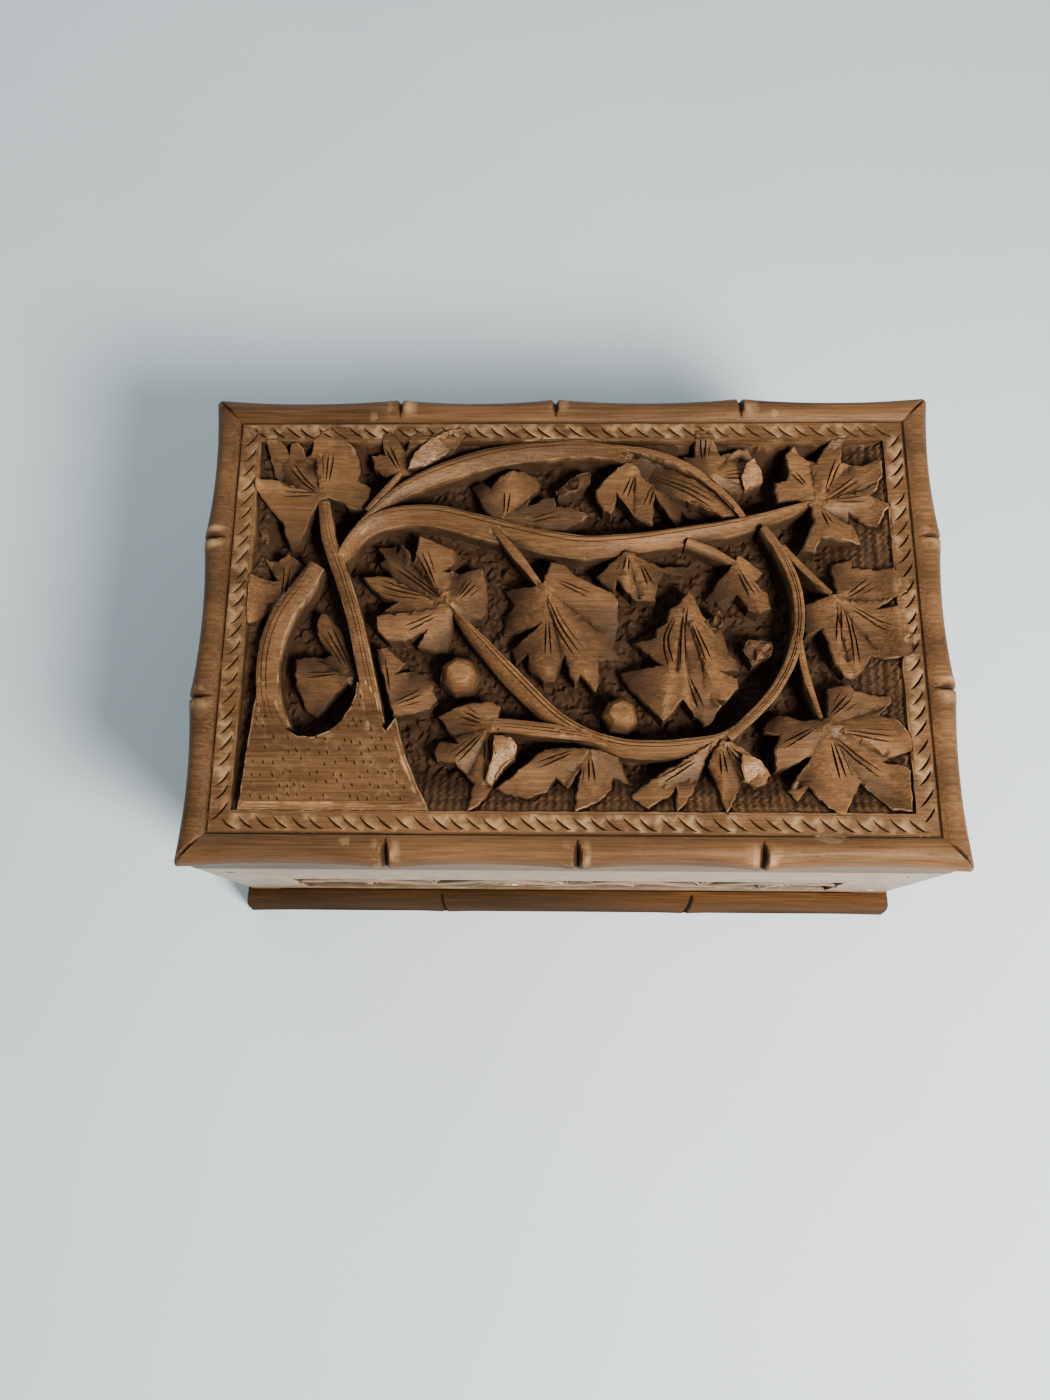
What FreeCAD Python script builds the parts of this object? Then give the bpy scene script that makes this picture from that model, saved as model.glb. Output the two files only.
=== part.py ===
"""Carved walnut keepsake box with a hinged lid, as an assembly of separate pieces.

Frame: origin on the floor under the middle of the box, +X along the front to the right, +Y to the back,
+Z up. Lengths are in millimetres, angles in degrees.
"""
import FreeCAD, Part
import math
import os
import re

import Sketcher
from FreeCAD import Placement, Rotation, Vector

SIZES = {
    # whole box
    "box_height": 73.0,
    "lid_length": 152.0,
    "lid_depth": 100.0,
    "lid_thickness": 14.0,
    "lid_gap": 0.3,
    # bamboo edge of the lid: how far nodes and corners stand out, and the rounded section
    "flare": 0.9,
    "waist": 0.8,
    "side_height": 4.0,
    "moulding_drop": 3.2,
    "shoulder_inset": 1.0,
    "shoulder_drop": 1.2,
    "crest_inset": 2.8,
    "crest_width": 1.1,
    "moulding_width": 6.3,
    "node_notch": 1.0,
    "mitre_notch": 0.8,
    # flat band and sunk field
    "band_drop": 1.1,
    "band_width": 4.4,
    "field_depth": 6.8,
    "field_slope": 2.6,
    # relief carving on the lid
    "leaf_drop": 1.3,
    "branch_width": 3.6,
    "band_branch_width": 5.6,
    "vine_width": 2.8,
    "stem_width": 1.8,
    "left_stem_width": 4.2,
    "bud_radius": 3.9,
    "relief_root": 1.0,
    # filled holes in the lid
    "plug_diameter": 2.8,
    "plug_length": 4.0,
    "plug_inset": 4.9,
    "plug_end": 33.0,
    # walls, lapped at the corners
    "wall": 9.0,
    "lap": 5.0,
    "panel_margin": 14.0,
    "panel_bottom": 18.5,
    "panel_height": 18.0,
    "panel_depth": 2.2,
    "panel_vine_width": 1.8,
    "panel_leaf_spacing": 15.0,
    "panel_leaf_reach": 7.0,
    "panel_leaf_drop": 0.5,
    # bottom and plinth
    "bottom_thickness": 5.0,
    "plinth_height": 15.0,
    "plinth_ledge": 1.7,
    "plinth_foot": 4.1,
    "plinth_lip": 1.0,
    "plinth_bulge": 0.5,
    "plinth_notch": 0.8,
    # hinges
    "hinge_end": 30.0,
    "hinge_length": 22.0,
    "hinge_inset": 3.0,
    "leaf_width": 5.6,
    "leaf_thickness": 1.0,
    "barrel_diameter": 3.6,
    "pin_diameter": 1.6,
    "pin_clearance": 0.05,
    "knuckle_gap": 0.1,
    "barrel_clearance": 0.3,
    "bevel_angle": 50.5,
    # fasteners
    "screw_diameter": 1.5,
    "screw_head": 2.7,
    "screw_length": 7.0,
    "nail_width": 1.6,
    "nail_head": 3.2,
    "nail_head_thickness": 0.8,
    "nail_length": 17.0,
    "corner_pin_width": 1.5,
    "corner_pin_length": 13.0,
    "brad_width": 0.9,
    "brad_length": 7.0,
    "brad_height": 9.0,
    # how far cutting tools run past a face
    "overrun": 1.0,
}

# Sizes that follow from the ones above, written as formulas
WALL_LENGTH = "(lid_length - 2 * flare)"
WALL_DEPTH = "(lid_depth - 2 * flare)"
LID_BOTTOM = "(box_height - lid_thickness)"
WALL_TOP = "(box_height - lid_thickness - lid_gap)"
BAND_TOP = "(box_height - band_drop)"
GROUND = "(box_height - band_drop - field_depth)"
FIELD_HALF_LENGTH = "(lid_length / 2 - moulding_width - band_width)"
FIELD_HALF_DEPTH = "(lid_depth / 2 - moulding_width - band_width)"
PIVOT_Y = f"({WALL_DEPTH} / 2 - hinge_inset)"
PIVOT_Z = f"({WALL_TOP} + lid_gap / 2)"
BARREL_REACH = "(barrel_diameter / 2 + barrel_clearance)"

# Places of the bamboo nodes, as shares of half the lid's length or depth
FRONT_NODE_SHARES = (-0.465, 0.015, 0.475)
BACK_NODE_SHARES = (-0.475, -0.04, 0.475)
LEFT_NODE_SHARES = (-0.335, 0.345)
RIGHT_NODE_SHARES = (-0.29, 0.35)
PLINTH_NODE_SHARES = (-0.4, 0.4)

# Leaves of the relief: where the stem meets the leaf, its height as a share of the field's depth, and the
# tips of its lobes. Places are shares of half the field's length and depth, measured from the lid's middle.
LEAF_SHARES = (
    ((-0.79, 0.67), 1.00, ((-0.65, 0.68), (-0.69, 0.92), (-0.78, 1.06), (-0.98, 1.00), (-1.00, 0.76),
                           (-0.90, 0.43))),
    ((-0.54, 0.83), 0.86, ((-0.64, 0.94), (-0.59, 1.05), (-0.48, 1.03), (-0.35, 1.05), (-0.64, 0.81))),
    ((-0.91, 0.10), 0.82, ((-0.96, 0.34), (-0.89, 0.36), (-0.84, 0.27), (-1.00, 0.18), (-1.00, -0.01))),
    ((-0.375, 0.06), 0.98, ((-0.61, 0.41), (-0.48, 0.48), (-0.33, 0.37), (-0.26, 0.20), (-0.65, 0.24),
                            (-0.605, -0.03), (-0.45, -0.15))),
    ((-0.21, 0.56), 0.90, ((-0.32, 0.81), (-0.15, 0.86), (-0.06, 0.71), (0.06, 0.58))),
    ((0.23, 0.79), 0.88, ((0.08, 0.69), (0.105, 0.60), (0.265, 0.53), (0.34, 0.54), (0.475, 0.58))),
    ((0.46, 0.79), 0.96, ((0.43, 1.05), (0.56, 0.97), (0.62, 0.79), (0.375, 0.93))),
    ((0.77, 0.65), 0.98, ((0.66, 0.73), (0.715, 0.97), (0.86, 1.02), (0.98, 0.88), (0.98, 0.61),
                          (0.925, 0.415), (0.74, 0.395))),
    ((0.81, 0.13), 0.96, ((0.84, 0.37), (1.00, 0.255), (1.01, 0.06), (1.01, -0.165), (0.87, -0.29),
                          (0.735, 0.01))),
    ((0.76, -0.56), 1.02, ((0.81, -0.34), (0.955, -0.415), (1.00, -0.65), (0.98, -0.94), (0.795, -1.01),
                           (0.66, -0.89), (0.61, -0.69), (0.585, -0.55))),
    ((-0.085, 0.18), 0.98, ((-0.21, 0.15), (-0.20, -0.05), (-0.16, -0.20), (-0.05, -0.33), (0.07, -0.36),
                            (0.155, -0.18), (0.145, 0.10), (-0.04, 0.325))),
    ((0.175, 0.38), 0.84, ((0.085, 0.24), (0.14, 0.155), (0.27, 0.135), (0.38, 0.33))),
    ((0.52, 0.32), 0.82, ((0.61, 0.275), (0.62, 0.09), (0.53, 0.04), (0.42, 0.13))),
    ((0.36, 0.08), 0.92, ((0.27, 0.00), (0.195, -0.115), (0.20, -0.39), (0.275, -0.51), (0.40, -0.56),
                          (0.45, -0.44), (0.51, -0.23))),
    ((-0.665, -0.345), 0.76, ((-0.785, 0.05), (-0.85, -0.20), (-0.79, -0.49))),
    ((-0.565, -0.485), 0.80, ((-0.575, -0.13), (-0.51, -0.23), (-0.435, -0.32), (-0.42, -0.46))),
    ((-0.245, -0.575), 0.98, ((-0.215, -0.45), (-0.315, -0.445), (-0.40, -0.515), (-0.42, -0.70),
                              (-0.29, -0.99), (-0.165, -0.675))),
    ((0.09, -0.66), 0.94, ((-0.20, -0.885), (-0.115, -0.935), (0.01, -0.99), (0.13, -0.84), (0.185, -0.85))),
    ((0.42, -0.66), 0.92, ((0.175, -0.90), (0.23, -0.99), (0.31, -0.99))),
    ((0.45, -0.635), 1.04, ((0.45, -0.99), (0.58, -0.815))),
)

# Vines of the relief: width, height as a share of the field's depth, lean of the crest across the vine, and
# the line that each follows
VINE_SHARES = (
    ("left_stem_width", 0.96, 0.3,
     ((-0.81, 0.29), (-0.855, 0.15), (-0.905, -0.03), (-0.93, -0.23), (-0.925, -0.43), (-0.885, -0.61))),
    ("vine_width", 0.99, -0.2,
     ((-0.80, 0.61), (-0.765, 0.42), (-0.71, 0.25), (-0.66, 0.01), (-0.61, -0.25), (-0.575, -0.51))),
    ("branch_width", 0.95, -0.7,
     ((-0.72, 0.345), (-0.65, 0.51), (-0.55, 0.585), (-0.41, 0.585), (-0.215, 0.515), (0.0, 0.435),
      (0.15, 0.41), (0.335, 0.465), (0.55, 0.535), (0.75, 0.64))),
    ("vine_width", 0.93, -0.7,
     ((-0.665, 0.51), (-0.565, 0.715), (-0.43, 0.84), (-0.23, 0.945), (0.0, 0.98), (0.185, 0.915),
      (0.335, 0.79), (0.46, 0.65), (0.535, 0.555))),
    ("band_branch_width", 0.78, 0.0, ((0.03, 0.965), (0.185, 0.905), (0.335, 0.785), (0.42, 0.70))),
    ("stem_width", 0.97, 0.0,
     ((0.615, 0.52), (0.675, 0.37), (0.71, 0.15), (0.71, -0.05), (0.675, -0.24), (0.605, -0.42),
      (0.52, -0.56), (0.43, -0.635))),
    ("vine_width", 0.97, -0.6,
     ((-0.375, 0.06), (-0.26, -0.14), (-0.14, -0.36), (-0.015, -0.55), (0.125, -0.64), (0.275, -0.66),
      (0.43, -0.635), (0.505, -0.58))),
    ("vine_width", 0.93, 0.0, ((-0.235, -0.555), (-0.075, -0.585), (0.075, -0.635), (0.185, -0.66))),
    ("stem_width", 0.91, 0.0, ((-0.23, 0.51), (-0.16, 0.345), (-0.085, 0.18))),
    ("stem_width", 0.94, 0.0, ((0.665, 0.41), (0.735, 0.255), (0.81, 0.13))),
    ("stem_width", 0.95, 0.0, ((0.69, -0.14), (0.71, -0.33), (0.75, -0.535))),
    ("stem_width", 0.90, 0.0, ((-0.545, 0.825), (-0.59, 0.71), (-0.645, 0.60))),
    ("stem_width", 0.88, 0.0, ((0.365, 0.42), (0.44, 0.37), (0.52, 0.305))),
)

# Tree trunk: foot, right flank with its cleft, and the round bottom of the loop between the two stems
TRUNK_HEIGHT_SHARE = 1.0
TRUNK_FLANK_SHARES = ((-0.955, -1.0), (-0.42, -1.0), (-0.485, -0.76), (-0.53, -0.53), (-0.56, -0.61),
                      (-0.59, -0.41), (-0.65, -0.38))
TRUNK_LOOP_SHARES = ((-0.765, -0.635), (-0.885, -0.38))
TRUNK_SIDE_SHARES = ((-0.955, -0.36),)
BUD_SHARES = ((-0.345, -0.28), (0.155, -0.50))
BUD_HEIGHT_SHARE = 0.9
BUD_TOP_SHARE = 0.62

# Form of a leaf, as shares of a lobe's reach, and the widest angle of half a lobe
LOBE_HALF_ANGLE = 22.0
SHOULDER_REACH_SHARE = 0.8
SHOULDER_GAP_SHARE = 0.72
SHOULDER_DROP_SHARE = 0.4
NOTCH_DEPTH_SHARE = 0.48
NOTCH_DROP_SHARE = 0.9
DEEP_NOTCH_GAP = 80.0
VINE_FALL_SHARE = 0.25
PANEL_WAVE_SHARE = 0.2
PANEL_LEAF_ANGLES = (-60.0, 0.0, 60.0)
BIARC_SHARE = 0.04

# Rows of fasteners, as shares of the length that they follow
PIN_HEIGHT_SHARES = (0.3, 0.85)
LONG_NAIL_SHARES = (-0.7, 0.0, 0.7)
SHORT_NAIL_SHARES = (-0.4, 0.4)
BRAD_SHARES = (-0.62, 0.62)
KNUCKLES = 5

doc = FreeCAD.newDocument("carved_box")
sheet = doc.addObject("Spreadsheet::Sheet", "Size")
for row, (alias, number) in enumerate(SIZES.items(), start=1):
    sheet.set(f"A{row}", alias)
    sheet.set(f"B{row}", str(number))
    sheet.setAlias(f"B{row}", alias)
doc.recompute()


# Helpers for sizes and simple solids

def size(formula):
    """Value of a formula of size names."""
    return float(sheet.evalExpression(formula))


def bind(item, prop, formula):
    """Tie a property to a formula of size names."""
    item.setExpression(prop, re.sub(r"[a-z]\w*\b(?!\()", lambda word: "Size." + word.group(0), formula))


def place(item, at, turn=None):
    """Turn an item about its own origin, then tie the origin's place to three formulas."""
    item.Placement = Placement(Vector(), turn or Rotation())
    for axis, formula in zip("xyz", at):
        bind(item, "Placement.Base." + axis, formula)
    return item


def box(name, spans, at, turn=None):
    item = doc.addObject("Part::Box", name)
    for prop, formula in zip(("Length", "Width", "Height"), spans):
        bind(item, prop, formula)
    return place(item, at, turn)


def cylinder(name, diameter, length, at, turn=None):
    item = doc.addObject("Part::Cylinder", name)
    bind(item, "Radius", f"({diameter}) / 2")
    bind(item, "Height", length)
    return place(item, at, turn)


def square_rod(name, width, length, at, turn=None):
    """Square rod about the Z axis before its turn, with its sides along X and Y."""
    item = doc.addObject("Part::Prism", name)
    item.Polygon = 4
    bind(item, "Circumradius", f"({width}) / sqrt(2)")
    bind(item, "Height", length)
    return place(item, at, (turn or Rotation()) * Rotation(Vector(0, 0, 1), 45))


def feature(name, shape):
    item = doc.addObject("Part::Feature", name)
    item.Shape = shape
    return item


def group(name, items):
    item = doc.addObject("Part::Compound", name)
    item.Links = items
    return item


def fuse(name, items):
    item = doc.addObject("Part::MultiFuse", name)
    item.Shapes = items
    return item


def cut(name, base, tools):
    """Cut a list of tools from a base; the list is grouped into one tool."""
    item = doc.addObject("Part::Cut", name)
    item.Base = base
    item.Tool = tools[0] if len(tools) == 1 else group(name + "_tools", tools)
    return item


def sketch(body, name, role, corners):
    """Closed outline on one of the body's origin planes, each corner tied to two formulas."""
    plane = next(item for item in body.Origin.OriginFeatures if item.Role == role)
    item = body.newObject("Sketcher::SketchObject", name)
    item.AttachmentSupport = (plane, "")
    item.MapMode = "FlatFace"
    spots = [Vector(size(x), size(y), 0) for x, y in corners]
    count = len(spots)
    for index, spot in enumerate(spots):
        item.addGeometry(Part.LineSegment(spot, spots[(index + 1) % count]), False)
    for index in range(count):
        item.addConstraint(Sketcher.Constraint("Coincident", index, 2, (index + 1) % count, 1))
    for index, corner in enumerate(corners):
        for axis, formula in zip("XY", corner):
            constraint = Sketcher.Constraint("Distance" + axis, -1, 1, index, 1, size(formula))
            label = f"corner{index}{axis}"
            item.renameConstraint(item.addConstraint(constraint), label)
            bind(item, "Constraints." + label, formula)
    return item


def pad(body, name, profile, length):
    item = body.newObject("PartDesign::Pad", name)
    item.Profile = profile
    bind(item, "Length", length)
    return item


def pocket(body, name, profile, length=None):
    """Pocket of a given depth, or right through the body both ways."""
    item = body.newObject("PartDesign::Pocket", name)
    item.Profile = profile
    if length is None:
        item.Type = "ThroughAll"
        item.Midplane = True
    else:
        bind(item, "Length", length)
    return item


def prism(points, sweep):
    """Straight prism on a planar polygon."""
    return Part.Face(Part.makePolygon(points + points[:1])).extrude(sweep)


def vee(start, end, opening, height):
    """V-shaped cutter whose sharp edge runs from start to end and which widens along opening."""
    run = end - start
    side = run.cross(opening).normalize()
    corners = [start, start + (opening + side) * height, start + (opening - side) * height]
    return prism(corners, run)


def sides(name):
    """Turn and outer-face place of the wall or strip on a named side, which faces -Y before its turn."""
    turns = {"front": 0, "back": 180, "left": -90, "right": 90}
    at = {
        "front": ("0", f"-{WALL_DEPTH} / 2"),
        "back": ("0", f"{WALL_DEPTH} / 2"),
        "left": (f"-{WALL_LENGTH} / 2", "0"),
        "right": (f"{WALL_LENGTH} / 2", "0"),
    }
    return Rotation(Vector(0, 0, 1), turns[name]), at[name]


# Relief carving: leaves, vines, buds and trunk as solids over a ground plane

def lobed_outline(base, tips):
    """Leaf outline about its base: each lobe has two shoulders and a tip, with a notch between lobes.

    Each point comes with the share of the leaf's drop that it takes.
    """
    polar = []
    for tip in tips:
        spoke = tip - base
        polar.append((math.degrees(math.atan2(spoke.y, spoke.x)), spoke.Length))
    polar.sort()
    count = len(polar)
    gaps = [(polar[(i + 1) % count][0] - polar[i][0]) % 360 or 360 for i in range(count)]
    first = (gaps.index(max(gaps)) + 1) % count
    order = [(first + i) % count for i in range(count)]
    points = []

    def add(angle, reach, drop_share):
        spoke = Vector(math.cos(math.radians(angle)), math.sin(math.radians(angle)), 0)
        points.append((base + spoke * reach, drop_share))

    for step, index in enumerate(order):
        angle, reach = polar[index]
        gap_before = 360 if step == 0 else gaps[order[step - 1]]
        gap_after = 360 if step == count - 1 else gaps[index]
        before = min(LOBE_HALF_ANGLE, gap_before / 2 * SHOULDER_GAP_SHARE)
        after = min(LOBE_HALF_ANGLE, gap_after / 2 * SHOULDER_GAP_SHARE)
        add(angle - before, reach * SHOULDER_REACH_SHARE, SHOULDER_DROP_SHARE)
        add(angle, reach, 1.0)
        add(angle + after, reach * SHOULDER_REACH_SHARE, SHOULDER_DROP_SHARE)
        if step < count - 1:
            shorter = min(reach, polar[order[step + 1]][1])
            depth_share = NOTCH_DEPTH_SHARE * min(1, gaps[index] / DEEP_NOTCH_GAP)
            add(angle + gaps[index] / 2, shorter * SHOULDER_REACH_SHARE * (1 - depth_share), NOTCH_DROP_SHARE)
    return points


def leaf(base, tips, bottom, top, drop):
    """Carved leaf: upright sides, and a faceted top that falls from the base to tips and notches."""
    rim = [(base, 0.0)] + lobed_outline(base, tips)
    high = [Vector(spot.x, spot.y, top - drop * share) for spot, share in rim]
    low = [Vector(spot.x, spot.y, bottom) for spot, _ in rim]
    count = len(rim)
    faces = [Part.Face(Part.makePolygon(low + low[:1]))]
    for i in range(count):
        j = (i + 1) % count
        faces.append(Part.Face(Part.makePolygon([low[i], low[j], high[j], high[i], low[i]])))
        if 0 < i < count - 1:
            faces.append(Part.Face(Part.makePolygon([high[0], high[i], high[j], high[0]])))
    solid = Part.makeSolid(Part.makeShell(faces))
    return solid if solid.Volume > 0 else solid.reversed()


def vine(line, width, bottom, top, lean=0.0):
    """Vine with upright sides and two slopes that meet in a crest, swept along a smooth line.

    Lean moves the crest across the vine, from -1 at its left side to 1 at its right side.
    """
    curve = Part.BSplineCurve()
    curve.interpolate([Vector(spot.x, spot.y, bottom) for spot in line])
    path = Part.Wire([piece.toShape() for piece in curve.toBiArcs(width * BIARC_SHARE)])
    start = path.OrderedVertexes[0].Point
    along = path.OrderedEdges[0].tangentAt(path.OrderedEdges[0].FirstParameter)
    if path.OrderedEdges[0].valueAt(path.OrderedEdges[0].FirstParameter).distanceToPoint(start) > width / 2:
        along = -path.OrderedEdges[0].tangentAt(path.OrderedEdges[0].LastParameter)
    right = along.cross(Vector(0, 0, 1)).normalize() * (width / 2)
    rise = Vector(0, 0, top - bottom)
    fall = Vector(0, 0, width * VINE_FALL_SHARE)
    corners = [start + right, start + right + rise - fall * (1 - lean), start + right * lean + rise,
               start - right + rise - fall * (1 + lean), start - right]
    sweep = Part.BRepOffsetAPI.MakePipeShell(path)
    sweep.setBiNormalMode(Vector(0, 0, 1))
    sweep.add(Part.makePolygon(corners + corners[:1]), False, False)
    sweep.build()
    sweep.makeSolid()
    return sweep.shape()


def field_spot(shares):
    """Point of the lid's field from shares of its half length and half depth."""
    return Vector(shares[0] * size(FIELD_HALF_LENGTH), shares[1] * size(FIELD_HALF_DEPTH), 0)


def lid_relief():
    """All carved solids of the lid's field, rooted below its ground."""
    ground = size(GROUND)
    bottom = ground - size("relief_root")
    depth = size("field_depth")
    items = []
    for number, (base, height_share, tips) in enumerate(LEAF_SHARES, start=1):
        spots = [field_spot(tip) for tip in tips]
        solid = leaf(field_spot(base), spots, bottom, ground + height_share * depth, size("leaf_drop"))
        items.append(feature(f"lid_leaf_{number}", solid))
    for number, (width, height_share, lean, line) in enumerate(VINE_SHARES, start=1):
        spots = [field_spot(spot) for spot in line]
        solid = vine(spots, size(width), bottom, ground + height_share * depth, lean)
        items.append(feature(f"lid_vine_{number}", solid))
    for number, shares in enumerate(BUD_SHARES, start=1):
        radius = size("bud_radius")
        rise = BUD_HEIGHT_SHARE * depth + size("relief_root")
        spot = field_spot(shares) + Vector(0, 0, bottom)
        items.append(feature(f"lid_bud_{number}", Part.makeCone(radius, radius * BUD_TOP_SHARE, rise, spot)))
    items.append(feature("lid_trunk", trunk(bottom, ground + TRUNK_HEIGHT_SHARE * depth)))
    return items


def trunk(bottom, top):
    """Flat tree trunk that the two stems grow from, with the round bottom of the loop between them."""
    def spot(shares):
        return field_spot(shares) + Vector(0, 0, bottom)

    flank = [spot(shares) for shares in TRUNK_FLANK_SHARES]
    loop = [spot(shares) for shares in TRUNK_LOOP_SHARES]
    side = [spot(shares) for shares in TRUNK_SIDE_SHARES]
    outline = Part.Wire([
        Part.makePolygon(flank),
        Part.Arc(flank[-1], loop[0], loop[1]).toShape(),
        Part.makePolygon([loop[1]] + side + flank[:1]),
    ])
    return Part.Face(outline).extrude(Vector(0, 0, top - bottom))


# Lid plank

def lid_ring(height, inset, waist):
    """Outline of the lid at a height; each stretch between nodes and corners is drawn in by waist."""
    half_length = size("lid_length / 2")
    half_depth = size("lid_depth / 2")
    reach_x = half_length - inset
    reach_y = half_depth - inset
    runs = (
        (FRONT_NODE_SHARES, half_length, reach_x, reach_y, Vector(1, 0, 0)),
        (RIGHT_NODE_SHARES, half_depth, reach_y, reach_x, Vector(0, 1, 0)),
        (BACK_NODE_SHARES, half_length, reach_x, reach_y, Vector(-1, 0, 0)),
        (LEFT_NODE_SHARES, half_depth, reach_y, reach_x, Vector(0, -1, 0)),
    )
    edges = []
    for shares, half, reach, offset, along in runs:
        inward = Vector(-along.y, along.x, 0)
        middle = Vector(0, 0, height) - inward * offset
        nodes = sorted(share * half * (along.x + along.y) for share in shares)
        stops = [-reach] + nodes + [reach]
        for near, far in zip(stops, stops[1:]):
            first = middle + along * near
            last = middle + along * far
            if waist > 0:
                edges.append(Part.Arc(first, (first + last) / 2 + inward * waist, last).toShape())
            else:
                edges.append(Part.LineSegment(first, last).toShape())
    return Part.Wire(edges)


def rectangle(half_x, half_y, height):
    corners = [Vector(-half_x, -half_y, height), Vector(half_x, -half_y, height),
               Vector(half_x, half_y, height), Vector(-half_x, half_y, height)]
    return Part.makePolygon(corners + corners[:1])


def lid_blank():
    """Plank with the rounded bamboo edge, flat on top."""
    top = size("box_height")
    bottom = size(LID_BOTTOM)
    flare = size("flare")
    waist = size("waist")
    crest = size("crest_inset")
    rings = [
        lid_ring(bottom, flare, 0),
        lid_ring(bottom + size("side_height"), flare, 0),
        lid_ring(top - size("moulding_drop"), 0, waist),
        lid_ring(top - size("shoulder_drop"), size("shoulder_inset"), waist),
        lid_ring(top, crest, waist * size("shoulder_inset") / crest),
    ]
    return Part.makeLoft(rings, True, True)


def frustum(top_half, top_height, bottom_half, bottom_height):
    """Sunk rectangle with sloping sides, as a cutter."""
    rings = [rectangle(*bottom_half, bottom_height), rectangle(*top_half, top_height)]
    return Part.makeLoft(rings, True, True)


def lid_sinks():
    """Cutters for the hollow inside the bamboo edge and for the field."""
    top = size("box_height")
    band = size(BAND_TOP)
    ground = size(GROUND)
    half_length = size("lid_length / 2")
    half_depth = size("lid_depth / 2")
    width = size("moulding_width")
    crest = size("crest_inset + crest_width")
    slope = size("field_slope")
    over = size("overrun")
    run = (width - crest) * (over / (top - band))
    field = (size(FIELD_HALF_LENGTH), size(FIELD_HALF_DEPTH))
    rise = slope * over / (band - ground)
    return [
        feature("band_sink", frustum((half_length - crest + run, half_depth - crest + run), top + over,
                                     (half_length - width, half_depth - width), band)),
        feature("field_sink", frustum((field[0] + rise, field[1] + rise), band + over,
                                      (field[0] - slope, field[1] - slope), ground)),
    ]


def lid_notches():
    """V-cuts across the bamboo edge at each node and along each mitre."""
    top = size("box_height")
    width = size("moulding_width")
    over = size("overrun")
    half_length = size("lid_length / 2")
    half_depth = size("lid_depth / 2")
    up = Vector(0, 0, 1)
    fall = Vector(0, 0, size("moulding_drop"))
    notch = Vector(0, 0, top - size("node_notch"))
    height = size("node_notch") + size("moulding_drop") + over
    items = []
    for shares, side in ((FRONT_NODE_SHARES, -1), (BACK_NODE_SHARES, 1)):
        for share in shares:
            inner = Vector(share * half_length, side * (half_depth - width), 0) + notch
            outer = Vector(share * half_length, side * (half_depth + over), 0) + notch - fall
            items.append(vee(inner, outer, up, height))
    for shares, side in ((LEFT_NODE_SHARES, -1), (RIGHT_NODE_SHARES, 1)):
        for share in shares:
            inner = Vector(side * (half_length - width), share * half_depth, 0) + notch
            outer = Vector(side * (half_length + over), share * half_depth, 0) + notch - fall
            items.append(vee(inner, outer, up, height))
    mitre = Vector(0, 0, top - size("mitre_notch"))
    for side_x in (-1, 1):
        for side_y in (-1, 1):
            inner = Vector(side_x * (half_length - width), side_y * (half_depth - width), 0) + mitre
            outer = Vector(side_x * (half_length + over), side_y * (half_depth + over), 0) + mitre - fall
            items.append(vee(inner, outer, up, height))
    return [feature(f"lid_notch_{number}", shape) for number, shape in enumerate(items, start=1)]


def bevel(name, rise):
    """Long wedge behind the hinge line, cut from lid and back wall so that they meet when the lid is open."""
    reach = size("hinge_inset + flare + overrun")
    far = rise * reach * math.tan(math.radians(size("bevel_angle")))
    half = size("lid_length / 2 + overrun")
    start = Vector(-half, size(PIVOT_Y), size(PIVOT_Z))
    corners = [start, start + Vector(0, reach, 0), start + Vector(0, reach, far)]
    return feature(name, prism(corners, Vector(2 * half, 0, 0)))


def plug_holes():
    """Blind holes in the bamboo edge, filled by the plugs."""
    items = []
    for side_x in ("-", ""):
        for side_y in ("-", ""):
            number = len(items) + 1
            y = f"{side_y}(lid_depth / 2 - plug_inset)"
            at = (f"{side_x}(lid_length / 2 - plug_end)", y, "box_height - plug_length")
            items.append(cylinder(f"plug_hole_{number}", "plug_diameter", "plug_length + overrun", at))
    return items


# Hinges and their screws

def hinge_centre(side):
    return f"{side} (lid_length / 2 - hinge_end)"


def screw(name, at, turn=None):
    """Countersunk wood screw that points up before its turn, with the head's face at its place."""
    head = doc.addObject("Part::Cone", name + "_head")
    bind(head, "Radius1", "screw_head / 2")
    bind(head, "Radius2", "screw_diameter / 2")
    bind(head, "Height", "(screw_head - screw_diameter) / 2")
    shank = cylinder(name + "_shank", "screw_diameter", "screw_length", ("0", "0", "0"))
    return place(fuse(name, [head, shank]), at, turn)


def hinge_screws(name, face, turn=None):
    """Two screws in each leaf of one body."""
    items = []
    row = f"{PIVOT_Y} - (leaf_width + {BARREL_REACH}) / 2"
    for side in ("-", "+"):
        for offset in ("-", "+"):
            at = (f"{hinge_centre(side)} {offset} hinge_length / 4", row, face)
            items.append(screw(f"{name}_{len(items) + 1}", at, turn))
    return items


def hinge_leaf(name, side, own, plate_bottom):
    """Leaf plate with its own knuckles about the pivot; own is 0 or 1, the first knuckle that it carries."""
    left = f"({hinge_centre(side)} - hinge_length / 2)"
    pitch = f"hinge_length / {KNUCKLES}"
    plate = box(name + "_plate", ("hinge_length", f"leaf_width - {BARREL_REACH}", "leaf_thickness"),
                (left, f"{PIVOT_Y} - leaf_width", plate_bottom))
    solids = [plate]
    along = Rotation(Vector(0, 1, 0), 90)
    for number in range(own, KNUCKLES, 2):
        start = f"{left} + {number} * {pitch} + knuckle_gap / 2"
        span = f"{pitch} - knuckle_gap"
        solids.append(box(f"{name}_tongue_{number}", (span, BARREL_REACH, "leaf_thickness"),
                          (start, f"{PIVOT_Y} - {BARREL_REACH}", plate_bottom)))
        solids.append(cylinder(f"{name}_knuckle_{number}", "barrel_diameter", span,
                               (start, PIVOT_Y, PIVOT_Z), along))
    bore = "pin_diameter" if own == 0 else "pin_diameter + 2 * pin_clearance"
    hole = cylinder(name + "_bore", bore, "hinge_length + 2 * overrun",
                    (f"{left} - overrun", PIVOT_Y, PIVOT_Z), along)
    return cut(name + "_bored", fuse(name + "_solid", solids), [hole])


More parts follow.
